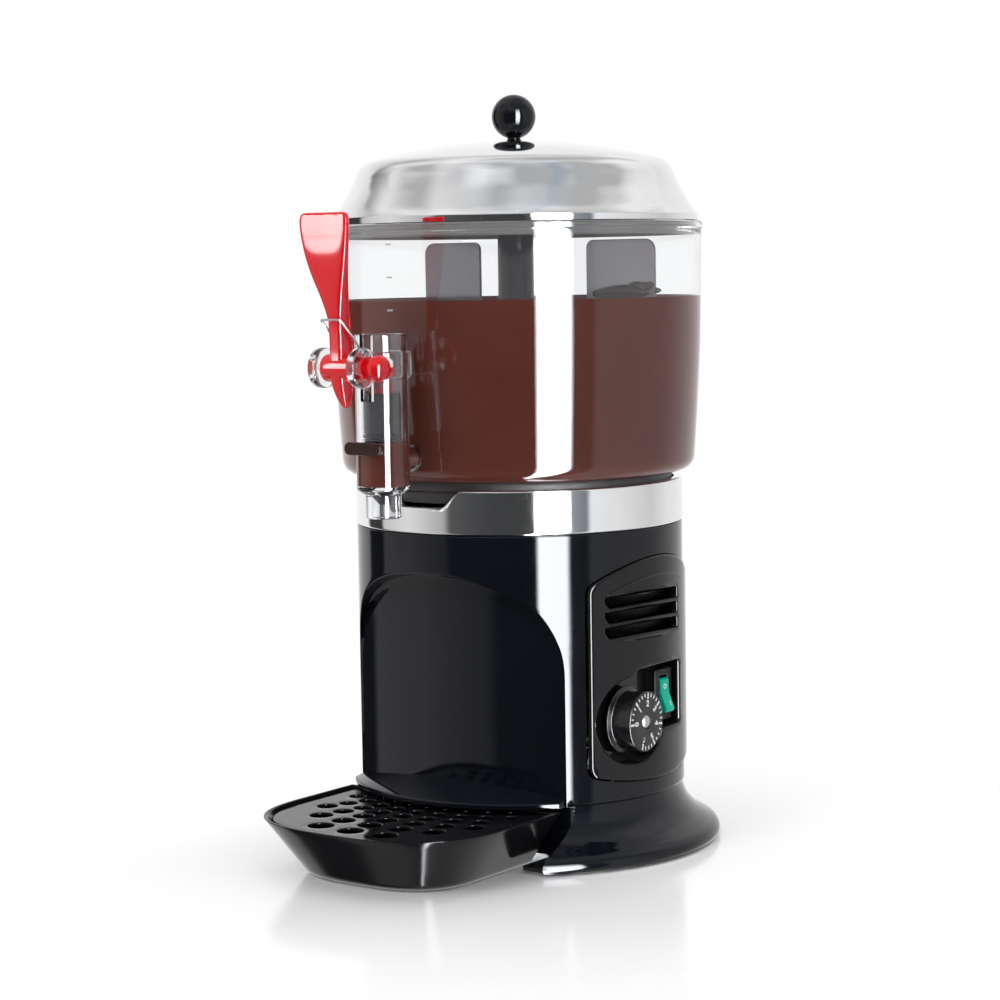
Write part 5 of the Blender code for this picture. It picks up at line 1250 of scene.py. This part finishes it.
path = flowing([*leg, (0, front, 0.0286), *[(-x, y, z) for x, y, z in leg[::-1]]], 8)
piece("wire_clip", [tube(path + PIVOT, 0.0007)], PLAIN_STEEL, "lever", ["lever_clip"])

# %% [markdown]
# ## Tray and grid
#
# In plan the tray has straight sides and a front drawn as a superellipse, and its walls lean in
# towards the floor. Each row of the mesh is that plan at its own height and inset.

# %% Tray
TRAY_LOW, TRAY_HIGH = low("drip_tray")[2], high("drip_tray")[2]
TRAY_HALF_W = high("drip_tray")[0]
TRAY_FRONT, TRAY_BACK = AXIS[1] - low("drip_tray")[1], AXIS[1] - high("drip_tray")[1]
SHOULDER = TRAY_FRONT - 0.076


TRAY_LEAN, TRAY_POWER = 0.024, 2.8


def tray_plan(share, inset, steps=90):
    """Plan (x, y) between floor (0) and rim (1). Ahead of the shoulder it is a superellipse:
    |x / half| ^ 2.8 + |f / reach| ^ 2.8 = 1."""
    lean = TRAY_LEAN * (1 - share)
    half, reach = TRAY_HALF_W - lean - inset, TRAY_FRONT - SHOULDER - lean - inset
    t = np.linspace(0, math.pi, steps)
    x = np.sign(np.cos(t)) * np.abs(np.cos(t)) ** (2 / TRAY_POWER) * half
    f = SHOULDER + np.maximum(np.sin(t), 0) ** (2 / TRAY_POWER) * reach
    back = TRAY_BACK + inset
    right = np.column_stack([np.full(8, half), np.linspace(back, SHOULDER, 9)[:-1]])
    left = np.column_stack([np.full(8, -half), np.linspace(SHOULDER, back, 9)[1:]])
    behind = np.column_stack([np.linspace(-half, half, 20)[1:-1], np.full(18, back)])
    plan = np.vstack([right, np.column_stack([x, f]), left, behind])
    return np.column_stack([AXIS[0] + plan[:, 0], AXIS[1] - plan[:, 1]])[::-1]


depth = TRAY_HIGH - TRAY_LOW
levels = [(0.0, 0.0018), (0.0006, 0.0006), (0.0022, 0.0)]      # height over the floor, inset
levels += [(z, 0.0) for z in np.linspace(0.004, depth - 0.0012, 10)]
levels += [
    (depth - 0.0005, 0.0001), (depth - 0.0001, 0.0005), (depth, 0.0010), (depth - 0.0001, 0.0017),
    (depth - 0.0006, 0.0021)]
levels += [(z, 0.0022) for z in np.linspace(depth - 0.0015, 0.0050, 8)] + [(0.0030, 0.0028), (0.0023, 0.0045)]
plans = [(tray_plan(z / depth, inset), TRAY_LOW + z) for z, inset in levels]
rings = np.stack([np.column_stack([plan, np.full(len(plan), z)]) for plan, z in plans])
bottom = filled(plans[0][0], [], 0.008, lay_z(plans[0][1]))
inside_floor = filled(plans[-1][0], [], 0.008, lay_z(plans[-1][1]))
post = rounded([
    (0.0, 0.0295, 0), (0.003, 0.0295, 0.0006), (0.0032, 0.0020, 0), (0.0, 0.0020, 0)], 3, closed=False)
posts = [turned(post, AXIS + (x, -f, 0), 24)
         for x in (0.034, -0.034) for f in (TRAY_FRONT - 0.051, TRAY_BACK + 0.0185)]
piece("tray_pan", [grid_patch(rings, wrap=True), bottom, inside_floor, *posts], TRAY_BLACK, "tray",
      ["drip_tray"], crease=45)

# %% [markdown]
# The tray slides between two low rails on the base. Each could be a bar, but it has to end inside
# the round skirt, so its front stops where its outer edge meets that circle.

# %% Tray rails
RAIL_IN, RAIL_OUT, SKIRT_INSIDE_R, RAIL_BACK = 0.0650, 0.0835, 0.1262, 0.0670
rail_front = math.sqrt(SKIRT_INSIDE_R ** 2 - RAIL_OUT ** 2)
rails = []
for side in (-1, 1):
    x0, x1 = sorted((side * RAIL_IN, side * RAIL_OUT))
    plan = rounded([
        (x0, AXIS[1] - rail_front, 0.002), (x1, AXIS[1] - rail_front, 0.002),
        (x1, AXIS[1] - RAIL_BACK, 0.0005), (x0, AXIS[1] - RAIL_BACK, 0.0005)], 4)
    rails += slab(plan, [], 0.0030, 0.0006, lay_z(0.0044), 0.004)
piece("tray_rails", rails, SATIN_BLACK, "base")

# %% [markdown]
# The grid's holes stand in arcs about the machine's axis and shrink towards it. Each is a circle
# with a rounded edge, and the plate between them is filled with triangles.

# %% Grid
GRID_TOP, GRID_T = high("drip_grid")[2], high("drip_grid")[2] - low("drip_grid")[2]
plate = tray_plan((GRID_TOP - GRID_T - TRAY_LOW) / depth, 0.0028)
HOLE_TURN, HOLE_SHARE, ROW_SHRINK = math.radians(7.85), 0.045, 0.896
holes, row_r = [], TRAY_FRONT - 0.0225
for count in (1, 2, 3, 3, 4, 4):      # holes on each side of the middle one
    for k in range(-count, count + 1):
        a = k * HOLE_TURN
        centre = AXIS[0] + row_r * math.sin(a), AXIS[1] - row_r * math.cos(a)
        holes.append(circle(centre, HOLE_SHARE * row_r, 32))
    row_r *= ROW_SHRINK
piece("drain_grid", slab(plate, holes, GRID_T, 0.0007, lay_z(GRID_TOP), 0.004), TRAY_BLACK, "tray",
      ["drip_grid"], crease=45)

# %% [markdown]
# ## Control panel
#
# The panel stands a little proud of the drum behind its arched outline. It is filled with small
# triangles in the unrolled view, as the casing is, with holes for three vents and the recess.
# The recess has straight walls from the curved skin to a flat floor.

# %% Panel
PANEL_R = high("control_panel")[0]
POCKET_X = low("dial")[0] - 0.0010
DIAL = middle("dial")
SWITCH = middle("switch_housing")
DIAL_FACE = high("dial")[0]


def on_panel(y, z, depth, radius=PANEL_R):
    """y and z as seen from the side, y from the axis; depth goes in towards the axis."""
    a = np.arcsin(np.clip(y / radius, -1, 1))
    return np.stack([AXIS[0] + (radius - depth) * np.cos(a), AXIS[1] + (radius - depth) * np.sin(a), z], -1)


outline = panel_outline(0.0)
dial_y = DIAL[1] - AXIS[1]
POCKET_R = 0.0275      # round the dial; a box for the switch runs on behind it
box_low, box_high, box_far = DIAL[2] - 0.009, DIAL[2] + 0.0315, dial_y + 0.0535
y_low = dial_y + math.sqrt(POCKET_R ** 2 - (DIAL[2] - box_low) ** 2)
last = math.atan2(box_low - DIAL[2], y_low - dial_y) + 2 * math.pi
t = np.linspace(math.pi / 2, last, 56)
corners = [(dial_y + POCKET_R * math.cos(a), DIAL[2] + POCKET_R * math.sin(a), 0) for a in t]
corners += [(box_far, box_low, 0.003), (box_far, box_high, 0.003), (dial_y + 0.002, box_high, 0.004)]
pocket = rounded(corners, 5)
VENT_Z, VENT_FRONT, VENT_BACK, VENT_HALF_H = (0.1620, 0.1525, 0.1430), -0.0460, 0.0260, 0.0036
vents = [rounded([
    (VENT_FRONT + 0.0030, z - VENT_HALF_H, 0.0006), (VENT_BACK, z - VENT_HALF_H, 0.0012),
    (VENT_BACK, z + VENT_HALF_H, 0.0012), (VENT_FRONT, z + VENT_HALF_H, 0.0008),
    (VENT_FRONT, z + 0.0004, 0.0012)], 4) for z in VENT_Z]
EDGE_OUT = np.array([(-0.0014, 0.0), (-0.0008, 0.0002), (-0.0003, 0.0006), (0.0, 0.0013), (0.0, 0.0045)])
VENT_EDGE = [(0.0008, 0.0), (0.0003, 0.0003), (0.0, 0.0009), (-0.0002, 0.0060)]
inner_edge = EDGE_OUT * (-1, 1)
openings = [grown(pocket, 0.0014)] + [grown(vent, 0.0008) for vent in vents]
face = filled(grown(outline, -0.0014), openings, 0.0028, on_panel)
patches = [face, edged(outline, EDGE_OUT, on_panel), edged(pocket, inner_edge[:4], on_panel)]
patches += [edged(vent, VENT_EDGE, on_panel) for vent in vents]
lip = on_panel(pocket[:, 0], pocket[:, 1], inner_edge[3, 1])
floor_rim = np.column_stack([np.full(len(pocket), POCKET_X), AXIS[1] + pocket[:, 0], pocket[:, 1]])
wall = lip[None] + np.linspace(0, 1, 4)[:, None, None] * (floor_rim - lip)[None]
patches.append(grid_patch(wall, wrap=True))
floor_hole = circle((DIAL[1], DIAL[2]), 0.0066, 40)


def about_switch(half_w, half_h, radius):
    """A rectangle about the switch's middle, in (y, z)."""
    return box_outline(SWITCH[1] - half_w, SWITCH[1] + half_w, SWITCH[2] - half_h, SWITCH[2] + half_h, radius)


pocket_floor = np.column_stack([AXIS[1] + pocket[:, 0], pocket[:, 1]])
well = about_switch(0.0058, 0.0130, 0.0006)
patches.append(filled(pocket_floor, [floor_hole, well], 0.0035, lay_x(POCKET_X)))
piece("side_panel", patches, PANEL_BLACK, "base", ["control_panel"], wall=0.0014,
      centre=AXIS + (0, 0, 0.12))
# An arched crease over the vents, a slim raised rib that follows the panel's top.
rib_t, rib_r = np.linspace(-0.44, 0.33, 60), 0.098
rib_yz = np.column_stack([-0.002 + rib_r * np.sin(rib_t), PANEL_TOP - 0.0115 - rib_r + rib_r * np.cos(rib_t)])
path = on_panel(rib_yz[:, 0], rib_yz[:, 1], 0.0001)
piece("panel_rib", [tube(path, 0.0008, 10)], PANEL_BLACK, "base")
# Angled slats behind the vents, each a thin strip that follows the drum.
SLAT = [(0.0046, 0.0030), (0.0092, -0.0026), (0.0100, -0.0022), (0.0054, 0.0034)]      # depth, rise
along = np.linspace(VENT_FRONT - 0.0020, VENT_BACK + 0.0020, 40)
slats = [capped(np.stack([np.stack([on_panel(y, z + rise, depth) for depth, rise in SLAT]) for y in along]))
         for z in VENT_Z]
piece("vent_slats", slats, PANEL_BLACK, "base")

# %% [markdown]
# ## Switch and dial
#
# The switch is a black frame with a green rocker whose lower half stands out. The rocker is its
# side view given a width. A ring and a bar, as on any mains switch, lie on its two slopes.

# %% Switch
frame_x = high("switch_housing")[0]
frame_outline, frame_hole = about_switch(0.010, 0.0165, 0.0012), about_switch(0.0051, 0.0122, 0.0005)
frame_slab = slab(frame_outline, [frame_hole], frame_x - POCKET_X - 0.0001, 0.0006, lay_x(frame_x), 0.004)
piece("switch_frame", frame_slab, SATIN_BLACK, "base", ["switch_housing"])
r0, r1 = low("rocker"), high("rocker")
side = rounded([
    (r0[0], r0[2] + 0.003, 0.0010), (r1[0] - 0.0012, r0[2] + 0.0002, 0.0008), (r1[0], r0[2] + 0.0024, 0.0009),
    (frame_x + 0.0012, SWITCH[2] + 0.0010, 0.004), (frame_x + 0.0008, r1[2] - 0.0012, 0.0008),
    (frame_x - 0.0010, r1[2], 0.0006), (r0[0], r1[2] - 0.003, 0.0010)], 4)
rocker = slab(side, [], r1[1] - r0[1], 0.0004, lay_y(r0[1]), 0.003)
piece("green_rocker", rocker, GREEN, "switch", ["rocker"])


def on_slope(top, foot):
    """Lays a small outline (across, down) on the slope from top to foot, its depth going in."""
    down = (foot - top) / np.linalg.norm(foot - top)
    out = np.array((-down[2], 0, down[0]))
    out *= np.sign(out[0])
    sideways = np.array((0, 1, 0))
    return lambda origin: lambda u, v, d: (
        origin + u[..., None] * sideways + v[..., None] * down + (PROUD - d)[..., None] * out)


def small(outline, holes, lay, thickness=0.0003):
    """A thin mark: both faces and the straight rims between them."""
    return slab(outline, holes, thickness, 0.00004, lay, 0.002)


PROUD = 0.00015      # how far a mark stands off the rocker
crest = np.array((frame_x + 0.0008, SWITCH[1], r1[2] - 0.0012))
valley = np.array((frame_x + 0.0012, SWITCH[1], SWITCH[2] + 0.0010))
low_edge = np.array((r1[0], SWITCH[1], r0[2] + 0.0024))
ring_mark, ring_hole = circle((0, 0.0042), 0.0017, 28), circle((0, 0.0042), 0.0010, 24)
print_marks = small(ring_mark, [ring_hole], on_slope(crest, valley)(crest))
bar_mark = box_outline(0.0016, 0.0022, -0.0052, -0.0020, 0.0002, 2)
print_marks += small(bar_mark, [], on_slope(valley, low_edge)(low_edge))
piece("rocker_marks", print_marks, PRINT, "switch")

# %% [markdown]
# The dial is a drum with a low flange, turned from one profile. Its ticks could be painted on with
# a texture, but thin raised shapes stay sharp from close by and turn with the dial. The figures
# come from Blender's own font, as triangles that are laid round the face.

# %% Dial
DIAL_R, FLANGE = 0.0190, 0.0021
FLANGE_TOP, FLANGE_LOW = POCKET_X + 0.0052, POCKET_X + 0.0041
dial_axis = (0, DIAL[1], DIAL[2])
drum_profile = rounded([
    (0.0, DIAL_FACE - 0.0012, 0), (0.0046, DIAL_FACE - 0.0012, 0.0001), (0.0048, DIAL_FACE, 0.0002),
    (DIAL_R, DIAL_FACE, 0.0012), (DIAL_R - 0.0014, POCKET_X + 0.0060, 0.0010),
    (DIAL_R + FLANGE, FLANGE_TOP, 0.0005), (DIAL_R + FLANGE, FLANGE_LOW, 0.0004),
    (0.0060, FLANGE_LOW, 0), (0.0, FLANGE_LOW, 0)], 5, closed=False)
piece("dial_drum", [turned_on(drum_profile, dial_axis, (1, 0, 0), 128)], DIAL_BLACK, "dial",
      ["dial", "dial_spindle"])


def lay_face(u, v, d):
    """Lays (y, z) from the dial's middle on its face, a hair proud."""
    return np.stack([DIAL_FACE + 0.00012 - d + 0 * u, DIAL[1] + u, DIAL[2] + v], -1)


def figure_patch(text, size, angle, radius):
    """A figure as triangles, turned to stand upright at this angle round the dial."""
    writing = bpy.data.curves.new("figure", "FONT")
    writing.body, writing.size, writing.extrude, writing.offset = text, size, 0.00012, 0.00022
    writing.align_x, writing.align_y = "CENTER", "CENTER"
    holder = bpy.data.objects.new("figure", writing)
    bpy.context.scene.collection.objects.link(holder)
    shape = holder.to_mesh()
    shape.calc_loop_triangles()
    dots = np.empty(len(shape.vertices) * 3, np.float32)
    shape.vertices.foreach_get("co", dots)
    triangles = np.empty(len(shape.loop_triangles) * 3, np.int32)
    shape.loop_triangles.foreach_get("vertices", triangles)
    holder.to_mesh_clear()
    bpy.data.objects.remove(holder)
    bpy.data.curves.remove(writing)
    dots = dots.reshape(-1, 3)
    c, s = math.cos(angle - math.pi / 2), math.sin(angle - math.pi / 2)
    u = dots[:, 0] * c - dots[:, 1] * s + radius * math.cos(angle)
    v = dots[:, 0] * s + dots[:, 1] * c + radius * math.sin(angle)
    return np.stack([DIAL_FACE + dots[:, 2], DIAL[1] + u, DIAL[2] + v], -1), triangles.reshape(-1, 3)


ticks = []
for k in range(25):
    a = math.radians(180 - 12 * k)
    along, across = np.array((math.cos(a), math.sin(a))), np.array((-math.sin(a), math.cos(a)))
    near, far, half = (0.0142, 0.0178, 0.00065) if k % 4 == 0 else (0.0154, 0.0176, 0.00042)
    bar = [along * near - across * half, along * far - across * half,
           along * far + across * half, along * near + across * half]
    ticks += small(bar, [], lay_face)
for k, figure in enumerate("0123456"):
    ticks.append(figure_patch(figure, 0.0052, math.radians(180 - 48 * k), 0.0112))
piece("dial_marks", ticks, PRINT, "dial")
CAP_R = 0.0040
cap = rounded([
    (0.0, DIAL_FACE + 0.0004, 0), (0.0028, DIAL_FACE + 0.0004, 0.0005), (CAP_R, DIAL_FACE - 0.0004, 0.0004),
    (CAP_R, DIAL_FACE - 0.0013, 0), (0.0, DIAL_FACE - 0.0013, 0)], 5, closed=False)
piece("dial_centre", [turned_on(cap, dial_axis, (1, 0, 0), 48)], PLAIN_STEEL, "dial",
      ["dial_cap"])

# %% [markdown]
# ## Floor
#
# The floor is a wide pale disc with a soft shine. It fades out with distance, so no edge shows
# against the white sweep, and mirror rays pass it, so that the black shell shows only the bands.

# %% Floor
pale = bpy.data.materials.new("pale_floor")
pale.use_nodes = True
tree = pale.node_tree
shader = tree.nodes["Principled BSDF"]
shader.inputs["Base Color"].default_value = (0.92, 0.92, 0.925, 1)
shader.inputs["Specular IOR Level"].default_value = 0.55
place = node(tree, "ShaderNodeTexCoord", -900).outputs["Object"]
far = node(tree, "ShaderNodeVectorMath", -700, operation="DISTANCE")
tree.links.new(place, far.inputs[0])
far.inputs[1].default_value = tuple(AXIS)
fade = remap(tree, far.outputs["Value"], 0.20, 0.44, 1.0, 0.0, interpolation_type="SMOOTHSTEP")
tree.links.new(fade, shader.inputs["Alpha"])
scuffs = remap(tree, noise(tree, place, 30, 3, 0.5, -300), 0.3, 0.7, 0.12, 0.17, -300)
tree.links.new(scuffs, shader.inputs["Roughness"])
FLOOR_DROP = 0.0003      # a hair under the feet
disc = turned([(0.0, 0.0), (0.12, 0.0), (0.24, 0.0), (0.36, 0.0), (0.46, 0.0)], AXIS, 128)
mesh = bpy.data.meshes.new("floor")
mesh.from_pydata((disc[0] - (0, 0, FLOOR_DROP)).tolist(), [], disc[1].tolist())
mesh.materials.append(pale)
floor = bpy.data.objects.new("floor", mesh)
bpy.context.scene.collection.objects.link(floor)
floor.visible_glossy = False
floor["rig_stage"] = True
print("floor", len(mesh.polygons), "faces")

# %% [markdown]
# Last, the sizes of the imported model and of the dressed one are gathered side by side.

# %% Finish
size = {"cad": [list(v) for v in cad_bounds], "visual": [list(v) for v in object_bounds()]}
